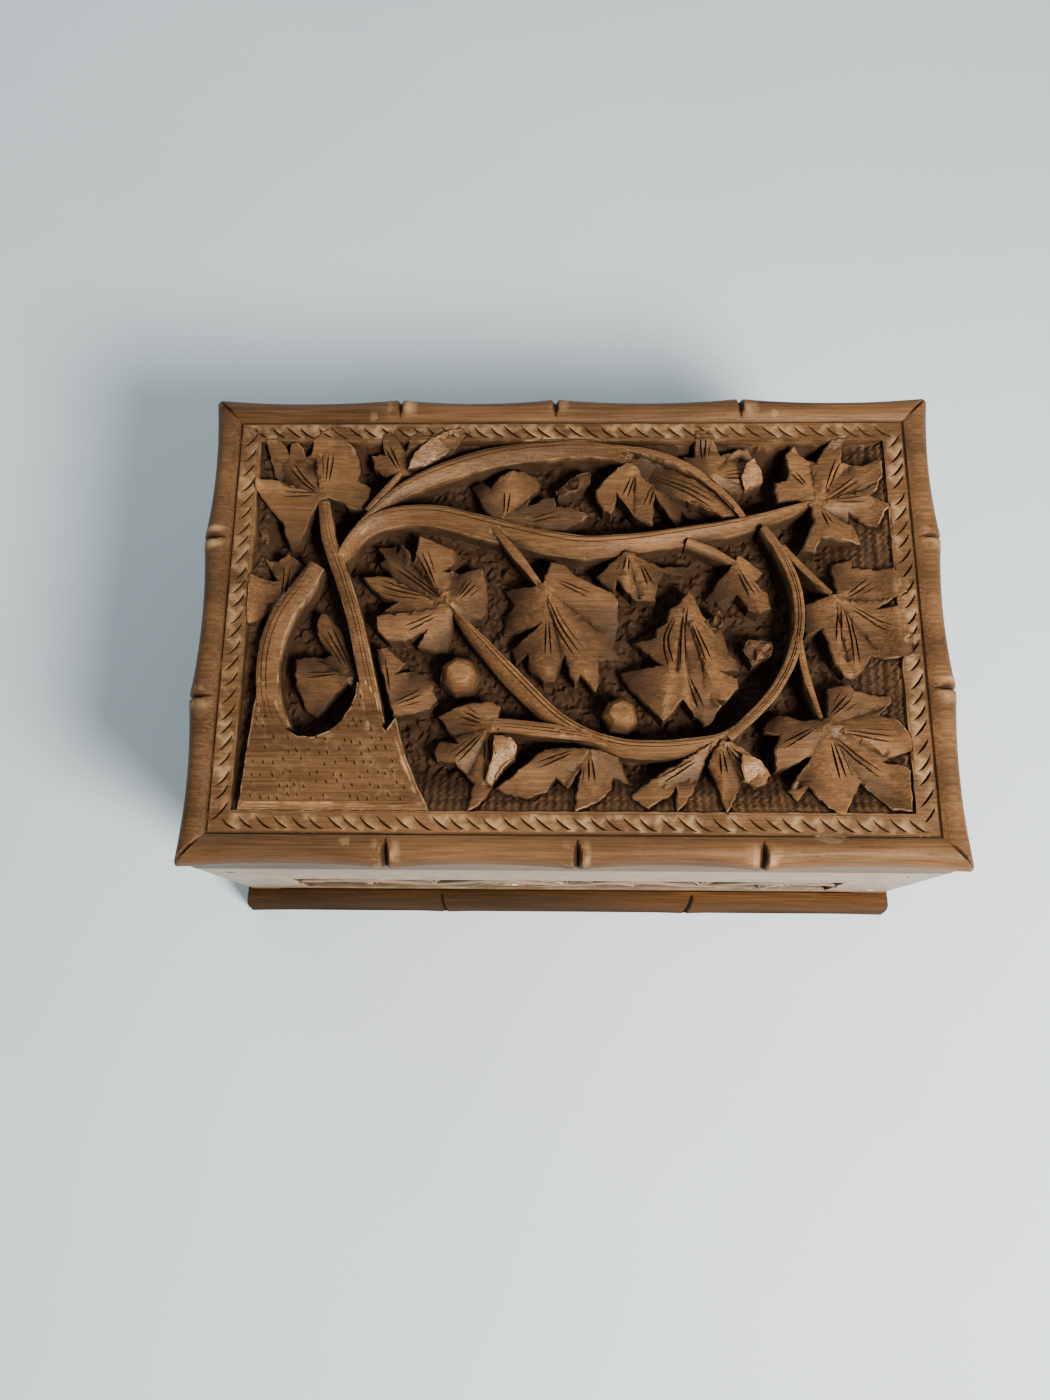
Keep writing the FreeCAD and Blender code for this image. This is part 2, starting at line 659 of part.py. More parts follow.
def hinge_seats(name, bottom):
    """Recesses for both leaves and their barrels, in the lid or in the back wall."""
    items = []
    along = Rotation(Vector(0, 1, 0), 90)
    for side in ("-", "+"):
        left = f"({hinge_centre(side)} - hinge_length / 2)"
        number = len(items)
        items.append(box(f"{name}_seat_{number}", ("hinge_length", "leaf_width", "leaf_thickness + overrun"),
                         (left, f"{PIVOT_Y} - leaf_width", bottom)))
        items.append(cylinder(f"{name}_barrel_{number}", f"2 * {BARREL_REACH}",
                              "hinge_length + 2 * barrel_clearance",
                              (f"{left} - barrel_clearance", PIVOT_Y, PIVOT_Z), along))
    return items


# Walls and plinth

def wall_body(side, length, rebated):
    """Wall before its turn: outer face on the XZ plane, facing -Y, with rebated or square ends."""
    body = doc.addObject("PartDesign::Body", side + "_wall_body")
    half = f"{length} / 2"
    if rebated:
        corners = [(f"-{half}", "0"), (half, "0"), (half, "wall - lap"), (f"{half} - wall", "wall - lap"),
                   (f"{half} - wall", "wall"), (f"-{half} + wall", "wall"), (f"-{half} + wall", "wall - lap"),
                   (f"-{half}", "wall - lap")]
    else:
        corners = [(f"-{half}", "0"), (half, "0"), (half, "wall"), (f"-{half}", "wall")]
    pad(body, side + "_wall_pad", sketch(body, side + "_wall_plan", "XY_Plane", corners),
        f"{WALL_TOP} - bottom_thickness")
    return body


def sunk_panel(body, side, half):
    """Sunk panel in a wall's outer face."""
    low = "panel_bottom - bottom_thickness"
    high = f"{low} + panel_height"
    corners = [(f"-{half}", low), (half, low), (half, high), (f"-{half}", high)]
    outline = sketch(body, side + "_panel_outline", "XZ_Plane", corners)
    return pocket(body, side + "_panel", outline, "panel_depth")


def panel_relief(side, half, turn, at):
    """Waving vine with three-lobed leaves on both sides, flush with the wall's face."""
    span = size(half)
    depth = size("panel_depth")
    drop = size("panel_leaf_drop")
    height = size("panel_height")
    reach = size("panel_leaf_reach")
    root = size("relief_root")
    middle = size("panel_bottom") + height / 2
    wave = height * PANEL_WAVE_SHARE
    count = max(2, round(2 * span / size("panel_leaf_spacing")))
    step = 2 * span / count
    knots = [Vector(-span, 0, 0)]
    for i in range(1, count):
        knots.append(Vector(-span + step * i, wave if i % 2 else -wave, 0))
    knots.append(Vector(span, 0, 0))
    solids = [vine(knots, size("panel_vine_width"), -depth - root, -drop)]
    for i in range(1, count):
        aim = -90 if i % 2 else 90
        foot = Vector(knots[i].x, -knots[i].y / 2, 0)
        tips = []
        for angle in PANEL_LEAF_ANGLES:
            turned = math.radians(aim + angle)
            tips.append(foot + Vector(math.cos(turned), math.sin(turned), 0) * reach)
        base = Vector(knots[i].x, knots[i].y, 0)
        solids.append(leaf(base, tips, -depth - root, 0, drop))
    upright = Placement(Vector(0, 0, middle), Rotation(Vector(1, 0, 0), 90))
    seat = Placement(Vector(size(at[0]), size(at[1]), 0), turn)
    items = []
    for number, solid in enumerate(solids, start=1):
        item = feature(f"{side}_carving_{number}", solid)
        item.Placement = seat * upright
        items.append(item)
    return items


def wall(side, length, rebated, carved, fasteners):
    """One wall, in its place, carved where it shows, and drilled by the fasteners that enter it."""
    turn, at = sides(side)
    body = wall_body(side, length, rebated)
    half = f"({length} / 2 - panel_margin)"
    if carved:
        sunk_panel(body, side, half)
    place(body, (*at, "bottom_thickness"), turn)
    solid = body
    if carved:
        solid = fuse(side + "_wall_carved", [body] + panel_relief(side, half, turn, at))
    return cut(side + "_wall_drilled", solid, fasteners)


def plinth(side, length, brads):
    """Flared plinth strip with mitred ends, bowed face and V-cut nodes."""
    turn, at = sides(side)
    body = doc.addObject("PartDesign::Body", f"plinth_{side}_body")
    middle = "plinth_height / 2"
    profile = [("0", "0"), ("-plinth_foot", "0"), ("-plinth_foot", "plinth_lip"),
               ("-(plinth_foot + plinth_ledge) / 2 - plinth_bulge", middle),
               ("-plinth_ledge", "plinth_height - plinth_lip"),
               ("-plinth_ledge + plinth_lip / 2", "plinth_height"), ("0", "plinth_height")]
    strip = pad(body, f"plinth_{side}_pad", sketch(body, f"plinth_{side}_profile", "YZ_Plane", profile),
                f"{length} + 2 * plinth_foot")
    strip.Midplane = True
    for number, end in enumerate(("-", "")):
        inner = f"{end}{length} / 2"
        outer = f"{end}({length} / 2 + plinth_foot + overrun)"
        corners = [(inner, "0"), (outer, "0"), (outer, "-plinth_foot - overrun")]
        pocket(body, f"plinth_{side}_mitre_{number}",
               sketch(body, f"plinth_{side}_mitre_plan_{number}", "XY_Plane", corners))
    place(body, (*at, "0"), turn)
    seat = Placement(Vector(size(at[0]), size(at[1]), 0), turn)
    notches = []
    depth = size("plinth_notch")
    foot = size("plinth_foot + plinth_bulge")
    ledge = size("plinth_ledge + plinth_bulge")
    for share in PLINTH_NODE_SHARES:
        along = share * size(length) / 2
        low = Vector(along, depth - foot, 0)
        high = Vector(along, depth - ledge, size("plinth_height"))
        notch = feature(f"plinth_{side}_notch_{len(notches) + 1}", vee(low, high, Vector(0, -1, 0), foot))
        notch.Placement = seat
        notches.append(notch)
    return cut(f"plinth_{side}_drilled", body, notches + brads)


# Fasteners of the body

def corner_pins():
    """Square pins along Y through the lips of the lapped corners."""
    rows = {"front": [], "back": []}
    along = Rotation(Vector(1, 0, 0), -90)
    for side, start in (("front", f"-{WALL_DEPTH} / 2"), ("back", f"{WALL_DEPTH} / 2 - corner_pin_length")):
        for sign in ("-", ""):
            for share in PIN_HEIGHT_SHARES:
                at = (f"{sign}({WALL_LENGTH} / 2 - wall / 2)", start,
                      f"bottom_thickness + ({WALL_TOP} - bottom_thickness) * {share}")
                name = f"corner_pin_{side}_{len(rows[side]) + 1}"
                rows[side].append(square_rod(name, "corner_pin_width", "corner_pin_length", at, along))
    return rows


def bottom_nails():
    """Flat-headed cut nails up through the bottom board, heads flush, along the middle of each wall."""
    spots = []
    for sign in ("-", ""):
        for share in LONG_NAIL_SHARES:
            spots.append((f"{share} * {WALL_LENGTH} / 2", f"{sign}({WALL_DEPTH} - wall) / 2"))
        for share in SHORT_NAIL_SHARES:
            spots.append((f"{sign}({WALL_LENGTH} - wall) / 2", f"{share} * {WALL_DEPTH} / 2"))
    items = []
    for x, y in spots:
        name = f"bottom_nail_{len(items) + 1}"
        head = square_rod(name + "_head", "nail_head", "nail_head_thickness", ("0", "0", "0"))
        shank = square_rod(name + "_shank", "nail_width", "nail_length", ("0", "0", "0"))
        items.append(place(fuse(name, [head, shank]), (x, y, "0")))
    return items


def plinth_brads(side, length):
    """Brads through a plinth strip into its wall, driven below the strip's face."""
    turn, at = sides(side)
    items = []
    for share in BRAD_SHARES:
        name = f"brad_{side}_{len(items) + 1}"
        offset = turn.multVec(Vector(1, 0, 0))
        outward = turn.multVec(Vector(0, -1, 0))
        x = f"{at[0]} + {offset.x:.0f} * {share} * {length} / 2 + {outward.x:.0f} * plinth_ledge"
        y = f"{at[1]} + {offset.y:.0f} * {share} * {length} / 2 + {outward.y:.0f} * plinth_ledge"
        inward = turn * Rotation(Vector(1, 0, 0), -90)
        items.append(square_rod(name, "brad_width", "brad_length", (x, y, "brad_height"), inward))
    return items


# Build every piece

pieces = {}
lengths = {"front": WALL_LENGTH, "back": WALL_LENGTH, "left": WALL_DEPTH, "right": WALL_DEPTH}
lid_screws = hinge_screws("lid_screw", LID_BOTTOM)
body_screws = hinge_screws("body_screw", WALL_TOP, Rotation(Vector(1, 0, 0), 180))
holes = plug_holes()
pins = corner_pins()
nails = bottom_nails()
brads = {side: plinth_brads(side, length) for side, length in lengths.items()}

blank = feature("lid_blank", lid_blank())
hollow = cut("lid_hollow", blank, lid_sinks() + lid_notches())
carved_lid = fuse("lid_carved", [hollow] + lid_relief())
lid_cutters = hinge_seats("lid", f"{LID_BOTTOM} - overrun") + [bevel("lid_bevel", 1)]
pieces["lid_panel"] = cut("lid_finished", carved_lid, lid_cutters + lid_screws + holes)

plugs = []
for number, hole in enumerate(holes, start=1):
    plug = doc.addObject("Part::Common", f"plug_{number}")
    plug.Base = hollow
    plug.Tool = hole
    plugs.append(plug)
pieces["lid_plugs"] = group("plug_group", plugs)

all_pins = pins["front"] + pins["back"]
end_length = f"({WALL_DEPTH} - 2 * (wall - lap))"
back_cutters = hinge_seats("back", f"{WALL_TOP} - leaf_thickness") + [bevel("back_bevel", -1)]
pieces["front_wall"] = wall("front", WALL_LENGTH, True, True, pins["front"] + nails + brads["front"])
pieces["back_wall"] = wall("back", WALL_LENGTH, True, False,
                           pins["back"] + nails + brads["back"] + back_cutters + body_screws)
pieces["left_wall"] = wall("left", end_length, False, True, all_pins + nails + brads["left"])
pieces["right_wall"] = wall("right", end_length, False, True, all_pins + nails + brads["right"])

board = box("bottom_board_blank", (WALL_LENGTH, WALL_DEPTH, "bottom_thickness"),
            (f"-{WALL_LENGTH} / 2", f"-{WALL_DEPTH} / 2", "0"))
pieces["bottom_board"] = cut("bottom_board_drilled", board, nails)
for side, length in lengths.items():
    pieces["plinth_" + side] = plinth(side, length, brads[side])

for side_name, side in (("left", "-"), ("right", "+")):
    body_leaf = hinge_leaf(f"hinge_{side_name}_body", side, 0, f"{WALL_TOP} - leaf_thickness")
    lid_leaf = hinge_leaf(f"hinge_{side_name}_lid", side, 1, LID_BOTTOM)
    pieces[f"hinge_{side_name}_body_leaf"] = cut(f"hinge_{side_name}_body_sunk", body_leaf, body_screws)
    pieces[f"hinge_{side_name}_lid_leaf"] = cut(f"hinge_{side_name}_lid_sunk", lid_leaf, lid_screws)
    pieces[f"hinge_{side_name}_pin"] = cylinder(
        f"hinge_{side_name}_rod", "pin_diameter", "hinge_length",
        (f"{hinge_centre(side)} - hinge_length / 2", PIVOT_Y, PIVOT_Z), Rotation(Vector(0, 1, 0), 90))

pieces["lid_hinge_screws"] = group("lid_screw_group", lid_screws)
pieces["body_hinge_screws"] = group("body_screw_group", body_screws)
pieces["corner_pins"] = group("corner_pin_group", all_pins)
pieces["bottom_nails"] = group("bottom_nail_group", nails)
pieces["plinth_pins"] = group("brad_group", sum(brads.values(), []))

for name, piece in pieces.items():
    piece.Label = name
doc.recompute()

# Check the document, then write one file for each piece
for item in doc.Objects:
    if "Invalid" in item.State or "Error" in item.State:
        raise RuntimeError(f"{item.Name} failed: {item.State}")
os.makedirs("parts", exist_ok=True)
for name, piece in pieces.items():
    if piece.Shape.isNull() or not piece.Shape.isValid():
        raise RuntimeError(f"{name} has no valid shape")
    piece.Shape.exportStep(f"parts/{name}.step")
    print(name, len(piece.Shape.Solids), "solids", round(piece.Shape.Volume, 2), "mm3")
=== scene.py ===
"""Carved walnut keepsake box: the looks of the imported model, in its own frame.

Sizes in the tables and functions are millimetres; pieces become metres when their meshes are made.
"""
import math
import random

import bmesh
import bpy
import numpy as np
from mathutils import Matrix, Vector, noise
from mathutils.bvhtree import BVHTree
from mathutils.geometry import delaunay_2d_cdt


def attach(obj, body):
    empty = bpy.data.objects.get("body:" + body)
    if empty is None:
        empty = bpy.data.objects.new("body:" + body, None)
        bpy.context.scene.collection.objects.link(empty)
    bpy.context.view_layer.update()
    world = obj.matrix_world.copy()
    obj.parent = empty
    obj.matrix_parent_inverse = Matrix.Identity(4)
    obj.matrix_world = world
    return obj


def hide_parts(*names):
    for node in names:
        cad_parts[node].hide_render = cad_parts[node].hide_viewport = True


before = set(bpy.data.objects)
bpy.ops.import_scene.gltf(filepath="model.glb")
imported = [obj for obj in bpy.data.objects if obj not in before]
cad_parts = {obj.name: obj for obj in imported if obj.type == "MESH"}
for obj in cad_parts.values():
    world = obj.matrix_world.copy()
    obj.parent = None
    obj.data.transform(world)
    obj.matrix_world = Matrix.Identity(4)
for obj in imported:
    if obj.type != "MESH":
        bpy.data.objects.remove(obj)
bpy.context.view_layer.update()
MM = 0.001
WELD = 2e-6
SHARP = math.radians(24)
SAME_SPOT = 1e-4
CURVE_STEP = 0.05
LEAST_CORNER = 0.9
GROOVE_SWELL = 0.6
rng = random.Random(7)

# Lid sizes
LID_HALF = (76.0, 50.0)
EDGE_WIDTH = 6.3
INNER_HALF = (LID_HALF[0] - EDGE_WIDTH, LID_HALF[1] - EDGE_WIDTH)
FIELD_HALF = (65.3, 39.3)
CORNERS = np.array([(-1, -1), (1, -1), (1, 1), (-1, 1)])
BOX_TOP = 73.0
LID_TOP = 72.95
BAND_TOP = 71.9
GROUND = 65.1
FIELD_DEPTH = BAND_TOP - GROUND
LID_BOTTOM = 59.0

# Underside of the lid: bevel behind the hinge line, and seats for the hinges
PIVOT_Y, PIVOT_Z = 46.1, 58.85
BEVEL_SLOPE = 1.213
BEVEL_DROP = 0.15
BEVEL_START = 46.224
HINGE_PLACES = (-46.0, 46.0)
SEAT_HALF = 11.0
SEAT_TOP = 60.0
SEAT_FRONT, SEAT_BACK = 40.5, 47.436
SEAT_LINES = (44.27, 44.6, 45.2, 46.1, 46.9)
BARREL_ROOM = 2.1
BARREL_FRONT = -1.83

# Filler plugs: place and reach along x and y, then rows across a plug as share of the reach and lift
PLUGS = [(-41.5, 44.8, 1.0, 0.9), (43.0, 45.2, 1.0, 0.9), (-42.7, -45.2, 1.15, 1.0), (48.8, -44.2, 3.4, 1.1)]
PLUG_ROWS = [(0.35, 0.06), (0.75, 0.05), (1.0, 0.02), (1.0, -0.7), (0.35, -0.7)]
PLUG_SIDES = 14
PLUG_RAGGED = (0.65, 1.15)
PLUG_RAY_START = 80

# Walls and their carved panels
WALL_HALF = (75.1, 49.1)
WALL_LOW = 5.0
WALL_TOP = 58.7
WALL = 9.0
LIP = 4.0
FACE = -0.03
PANEL_MARGIN = 14.0
PANEL_LOW = 18.5
PANEL_HIGH = 36.5
PANEL_DEPTH = 2.2
PANEL_SPACING = 15.0
PANEL_WAVE = 3.6
PANEL_LEAF = 6.4
PANEL_LEAF_FOOT_SHARE = 0.35
PANEL_LEAF_TOP = -0.1
PANEL_LEAF_SHAPE = [
    (-150, 0.3), (-112, 0.78), (-86, 0.6), (-66, 1.0), (-48, 0.66), (-32, 0.5), (-16, 0.8), (0, 1.08),
    (16, 0.8), (32, 0.5), (48, 0.66), (66, 1.0), (86, 0.6), (112, 0.78), (150, 0.3),
]
PANEL_VEINS = (-66, 0, 66)
PANEL_VEIN_SHARES = (0.12, 0.78)
PANEL_VINE = (-0.3, 0.0, 0.4, 0.4, (1.8, 1.8))
PANEL_STEM = (-0.4, 0.0, 0.2, 0.2, (1.2, 1.2))
NET_STEP = 1.1
NET_INSETS = (0.6, 0.3)
NET_WANDER = 0.3
NET_CUT = 0.35
# Darkening of the sunk panel with its depth and in its cuts: dirt and painted shade
PANEL_DIRT_AND_SHADE = 0.75
WALL_CUT_DIRT_AND_SHADE = 0.6

# Plinth: rows around a strip as reach, height and share of waist and node cut
PLINTH_ROWS = [
    (0.0, 0.0, 0), (3.9, 0.0, 0), (4.1, 0.35, 1), (4.05, 1.2, 1), (3.8, 3.5, 1), (3.6, 6.0, 1),
    (3.25, 8.5, 1), (2.85, 10.5, 1), (2.35, 12.4, 1), (1.9, 13.7, 1), (1.6, 14.4, 1), (1.2, 14.85, 0.6),
    (0.8, 15.0, 0), (0.0, 15.0, 0),
]
PLINTH_NODE_SHARE = 0.4
PLINTH_CUT = 0.9
PLINTH_CUT_HALF = 0.6
PLINTH_WAIST = 0.4
PLINTH_END = 6.0
PLINTH_CLEAR = 1.5
# Painted light falloff along the plinth: middle tone and spread from left to right
PLINTH_FALLOFF_TONE = (0.45, 0.4)
# Darkening in the plinth's node cuts: dirt and painted shade
PLINTH_CUT_DIRT_AND_SHADE = 0.4
PLINTH_OFFSETS = (-1.2, -0.6, -0.3, 0.0, 0.3, 0.6, 1.2)

# Lobed leaves: stem end, height as a share of the field's depth, slope along x and y, outline, vein pairs
LEAVES = [
    ((-52.0, 27.0), 0.99, (0.01, -0.01),
     [(-50.8, 42.3), (-49.6, 41.4), (-47.4, 39.9), (-45.4, 38.0), (-44.5, 35.8), (-44.2, 33.3), (-44.7, 31.3),
      (-42.0, 29.7), (-42.0, 27.5), (-43.3, 24.3), (-45.6, 24.8), (-48.1, 26.1), (-50.6, 26.8), (-52.5, 25.2),
      (-54.2, 22.5), (-55.3, 20.0), (-56.4, 17.4), (-58.4, 16.5), (-59.6, 19.2), (-60.0, 21.8), (-61.8, 23.6),
      (-64.3, 26.4), (-65.8, 29.0), (-65.8, 30.8), (-62.9, 31.1), (-60.2, 31.5), (-62.5, 32.4), (-62.9, 34.7),
      (-63.8, 37.6), (-64.1, 39.8), (-62.2, 39.8), (-60.3, 38.6), (-59.6, 37.2), (-58.9, 38.9), (-57.6, 39.2),
      (-56.4, 38.2), (-56.0, 36.8), (-55.0, 37.2), (-54.2, 39.0), (-52.6, 41.2)],
     [[(-53.0, 28.3), (-56.0, 31.0), (-59.0, 34.8)], [(-53.6, 27.2), (-60.0, 27.3)],
      [(-50.8, 30.0), (-50.4, 37.0)]]),
    ((-35.2, 32.3), 0.88, (0.03, 0.02),
     [(-35.2, 31.8), (-39.3, 32.6), (-41.8, 34.7), (-42.0, 36.9), (-39.2, 37.1), (-39.4, 40.8), (-37.7, 41.6),
      (-36.2, 39.4), (-34.8, 37.6), (-33.2, 40.5), (-30.8, 41.6), (-29.9, 40.5), (-27.0, 41.4), (-22.5, 42.3),
      (-22.0, 40.5), (-24.5, 37.5), (-29.0, 34.5), (-33.0, 32.2)],
     [[(-36.0, 33.5), (-38.6, 38.5)]]),
    ((-58.8, 3.0), 0.84, (0.0, 0.01),
     [(-58.6, 2.6), (-57.6, 6.0), (-55.2, 10.6), (-55.0, 12.2), (-58.2, 14.6), (-60.4, 13.1), (-63.1, 13.6),
      (-61.5, 10.6), (-60.2, 8.9), (-65.4, 9.2), (-65.5, 3.5), (-65.0, -1.2), (-60.6, 2.2)],
     [[(-58.8, 5.0), (-58.2, 11.5)]]),
    ((-24.5, 2.5), 0.98, (-0.005, -0.01),
     [(-18.0, 0.5), (-17.0, 2.0), (-16.8, 5.5), (-17.3, 9.0), (-18.2, 11.6), (-22.0, 11.0), (-25.8, 10.6),
      (-23.5, 12.6), (-21.5, 14.5), (-25.0, 16.2), (-28.0, 17.6), (-31.2, 19.0), (-31.6, 15.5), (-32.3, 12.6),
      (-33.4, 15.4), (-34.8, 17.1), (-35.9, 15.6), (-36.3, 17.2), (-40.0, 16.8), (-38.2, 13.8), (-39.6, 13.2),
      (-37.2, 10.8), (-36.5, 9.6), (-39.5, 9.8), (-42.6, 9.4), (-40.8, 7.2), (-38.2, 5.2), (-35.2, 4.2),
      (-37.8, 3.0), (-39.7, 1.0), (-39.0, -2.4), (-36.5, -4.4), (-33.5, -4.4), (-28.8, -1.8), (-31.0, -5.2),
      (-28.0, -6.0), (-24.8, -6.0), (-24.2, -2.5), (-23.8, 1.0), (-20.5, 0.0)],
     [[(-26.5, 4.6), (-30.5, 8.0), (-36.0, 12.3)], [(-27.5, 7.0), (-31.2, 14.8)],
      [(-29.5, 5.2), (-34.0, 6.4), (-39.0, 8.2)],
      [(-27.0, 1.0), (-33.5, -2.0)], [(-22.5, 4.5), (-19.5, 8.5)]]),
    ((-14.0, 21.8), 0.92, (0.0, -0.03),
     [(-20.9, 31.5), (-18.5, 32.2), (-16.6, 30.2), (-14.8, 32.6), (-11.9, 33.6), (-9.0, 33.6), (-6.8, 32.4),
      (-6.1, 31.5), (-6.3, 30.0), (-8.3, 27.2), (-8.6, 25.2), (-6.8, 26.1), (-5.0, 27.5), (-3.2, 27.5),
      (-2.9, 25.0), (0.7, 24.8), (3.6, 23.0), (1.8, 21.4), (-0.4, 20.3), (-5.4, 19.4), (-9.7, 20.1),
      (-12.6, 21.4), (-15.8, 22.1), (-18.0, 25.0), (-19.3, 28.2)],
     [[(-13.4, 22.8), (-13.0, 28.4)], [(-8.2, 21.6), (-2.6, 23.2)]]),
    ((13.5, 34.0), 0.92, (-0.03, 0.03),
     [(9.4, 33.3), (11.2, 34.7), (13.0, 35.1), (14.8, 32.6), (18.0, 29.7), (22.5, 27.6), (27.0, 25.8),
      (31.2, 22.4), (27.0, 23.4), (24.8, 24.2), (23.6, 25.6), (23.5, 23.2), (22.7, 21.4), (20.8, 23.6),
      (19.2, 26.0), (17.8, 28.2), (17.3, 23.2), (17.1, 20.7), (13.3, 23.2), (11.5, 25.8), (9.8, 28.0),
      (9.2, 24.6), (8.5, 23.5), (7.0, 24.3), (5.6, 27.2), (5.4, 29.0), (7.2, 31.2)],
     [[(13.2, 31.8), (11.4, 27.0)], [(17.5, 30.0), (15.8, 25.0)]]),
    ((31.4, 22.3), 0.9, (0.0, -0.1),
     [(11.0, 36.8), (16.0, 36.6), (22.0, 34.2), (28.0, 30.0), (33.0, 25.0), (34.6, 22.6), (31.4, 22.3),
      (27.0, 25.6), (22.5, 27.4), (18.0, 29.5), (14.8, 32.4), (12.8, 35.0)],
     [[(17.0, 33.5), (24.0, 29.5), (30.0, 24.8)]]),
    ((29.5, 31.5), 0.97, (0.02, 0.0),
     [(24.0, 36.7), (26.2, 36.6), (26.3, 41.6), (29.6, 41.6), (30.2, 39.0), (31.7, 36.6), (34.8, 37.7),
      (37.3, 38.0), (38.6, 36.3), (38.3, 34.8), (39.9, 32.6), (40.3, 30.6), (37.0, 28.6), (33.5, 28.2),
      (30.0, 30.0), (27.0, 33.0), (24.5, 35.0)],
     [[(28.0, 35.5), (27.9, 40.6)], [(32.0, 31.6), (36.5, 31.8)]]),
    ((50.5, 25.5), 0.98, (0.01, 0.0),
     [(42.7, 30.4), (44.9, 30.5), (45.6, 31.6), (45.2, 36.5), (47.0, 38.4), (49.9, 35.8), (51.5, 34.7),
      (52.8, 37.2), (54.6, 39.3), (57.3, 39.9), (56.8, 36.4), (56.6, 34.7), (61.1, 34.3), (63.6, 35.2),
      (64.8, 34.7), (64.7, 31.8), (63.6, 28.6), (62.2, 27.5), (65.4, 24.6), (62.9, 20.1), (60.4, 21.4),
      (57.8, 23.6), (58.4, 20.8), (59.8, 16.8), (56.4, 17.1), (52.6, 17.8), (51.5, 18.0), (50.3, 14.9),
      (47.4, 15.6), (48.8, 18.2), (50.2, 21.0), (49.8, 24.4), (46.8, 26.2), (43.1, 26.0), (42.6, 28.5)],
     [[(53.0, 27.8), (54.6, 32.0), (56.2, 35.6)], [(53.2, 26.6), (60.2, 31.8)], [(54.6, 26.0), (61.4, 26.5)],
      [(51.8, 23.8), (53.6, 20.2)], [(49.0, 29.0), (46.4, 32.4)]]),
    ((53.0, 5.0), 0.97, (0.01, 0.0),
     [(53.6, 5.5), (53.8, 13.0), (57.6, 13.6), (57.8, 11.8), (61.5, 11.0), (65.0, 10.7), (67.2, 8.3),
      (67.4, 5.5), (61.4, 2.4), (65.2, 2.6), (66.6, 0.5), (67.6, -4.0), (67.4, -8.0), (62.5, -8.2),
      (60.0, -7.4), (58.3, -10.2), (56.0, -12.2), (54.4, -11.6), (52.6, -9.0), (51.8, -5.4), (50.6, -1.6),
      (47.4, -3.2), (47.4, 3.8), (50.0, 4.6)],
     [[(54.0, 2.6), (53.6, -4.8)], [(55.2, 2.6), (56.4, -3.0), (57.0, -9.4)], [(56.4, 2.8), (64.2, -2.2)],
      [(56.0, 5.2), (61.0, 8.8)]]),
    ((49.6, -22.0), 1.01, (0.01, -0.01),
     [(50.0, -20.2), (50.6, -16.5), (51.1, -13.5), (55.3, -13.2), (55.9, -14.9), (59.0, -15.4), (62.7, -15.7),
      (62.9, -17.2), (60.5, -19.6), (63.0, -20.2), (64.6, -22.4), (66.0, -24.9), (65.4, -27.1), (60.6, -28.9),
      (63.5, -29.6), (65.0, -31.0), (64.7, -38.8), (61.0, -38.6), (58.6, -35.8), (55.7, -33.1), (53.8, -36.2),
      (51.9, -39.6), (50.3, -39.2), (47.4, -36.2), (46.0, -33.8), (43.4, -36.8), (41.9, -34.8), (44.6, -31.0),
      (46.7, -27.9), (39.6, -31.0), (39.6, -26.8), (40.8, -23.6), (38.2, -22.9), (37.9, -21.8), (39.9, -19.6),
      (41.6, -19.0), (45.3, -20.6)],
     [[(50.9, -19.8), (55.0, -15.8)], [(53.0, -23.2), (62.3, -24.8)],
      [(51.2, -24.4), (55.5, -28.4), (60.0, -31.8)],
      [(50.6, -25.2), (52.4, -32.8)], [(47.2, -22.6), (41.0, -26.1)]]),
    ((-5.5, 7.0), 0.98, (-0.01, 0.0),
     [(-5.5, 7.5), (-4.0, 12.8), (-1.1, 12.3), (1.4, 9.5), (4.5, 8.0), (8.4, 6.2), (9.8, 4.0), (9.8, -1.0),
      (8.7, -5.0), (10.6, -7.5), (5.6, -8.2), (5.9, -11.8), (5.1, -14.9), (2.0, -11.4), (0.9, -13.1),
      (-0.3, -10.6), (-1.1, -7.2), (-2.3, -9.6), (-3.0, -12.6), (-5.3, -13.0), (-8.4, -9.8), (-8.6, -6.5),
      (-11.0, -8.3), (-12.0, -5.2), (-9.6, -3.2), (-5.5, -0.4), (-9.8, -1.4), (-13.6, -2.0), (-13.2, 1.5),
      (-11.5, 4.5), (-13.8, 8.0), (-10.0, 7.8)],
     [[(-4.6, 4.1), (-2.2, -1.7), (1.6, -7.5)], [(-4.6, 0.0), (-4.4, -7.6)], [(-2.6, 8.2), (4.0, 5.2)]]),
    ((11.8, 14.6), 0.87, (0.0, 0.03),
     [(11.2, 14.8), (13.2, 14.8), (15.6, 13.6), (18.6, 12.4), (22.0, 12.8), (25.2, 13.2), (23.2, 10.8),
      (19.4, 11.0), (18.0, 9.3), (17.5, 4.6), (13.6, 4.8), (11.4, 6.6), (9.6, 9.0), (9.0, 6.2), (7.6, 7.6),
      (5.4, 9.9), (8.0, 12.6)],
     [[(11.8, 14.0), (11.4, 10.6)], [(14.6, 12.2), (16.6, 7.8)]]),
    ((34.0, 12.4), 0.85, (-0.02, 0.02),
     [(33.2, 12.2), (34.4, 14.2), (37.0, 12.8), (39.6, 10.8), (37.6, 8.6), (40.4, 6.2), (40.8, 3.0),
      (38.4, 1.7), (36.2, 2.6), (34.0, 6.0), (30.5, 4.5), (28.0, 6.0), (31.0, 9.8)],
     [[(34.4, 10.6), (37.0, 5.0)]]),
    ((22.6, 3.0), 0.94, (0.0, 0.0),
     [(24.4, 7.2), (26.0, 3.0), (28.4, -1.0), (31.0, -1.5), (31.7, -6.7), (33.6, -7.7), (33.9, -10.1),
      (29.4, -10.7), (33.4, -11.7), (33.4, -13.9), (30.6, -16.8), (28.7, -16.4), (29.8, -17.8), (27.9, -20.9),
      (26.3, -21.6), (22.2, -16.5), (20.8, -18.2), (18.3, -20.8),
      (15.0, -17.3), (11.7, -13.4), (10.1, -9.9), (18.4, -9.3), (12.7, -4.0), (17.2, -3.4), (17.4, -1.4),
      (19.6, -0.4), (20.0, 2.2), (22.2, 3.4)],
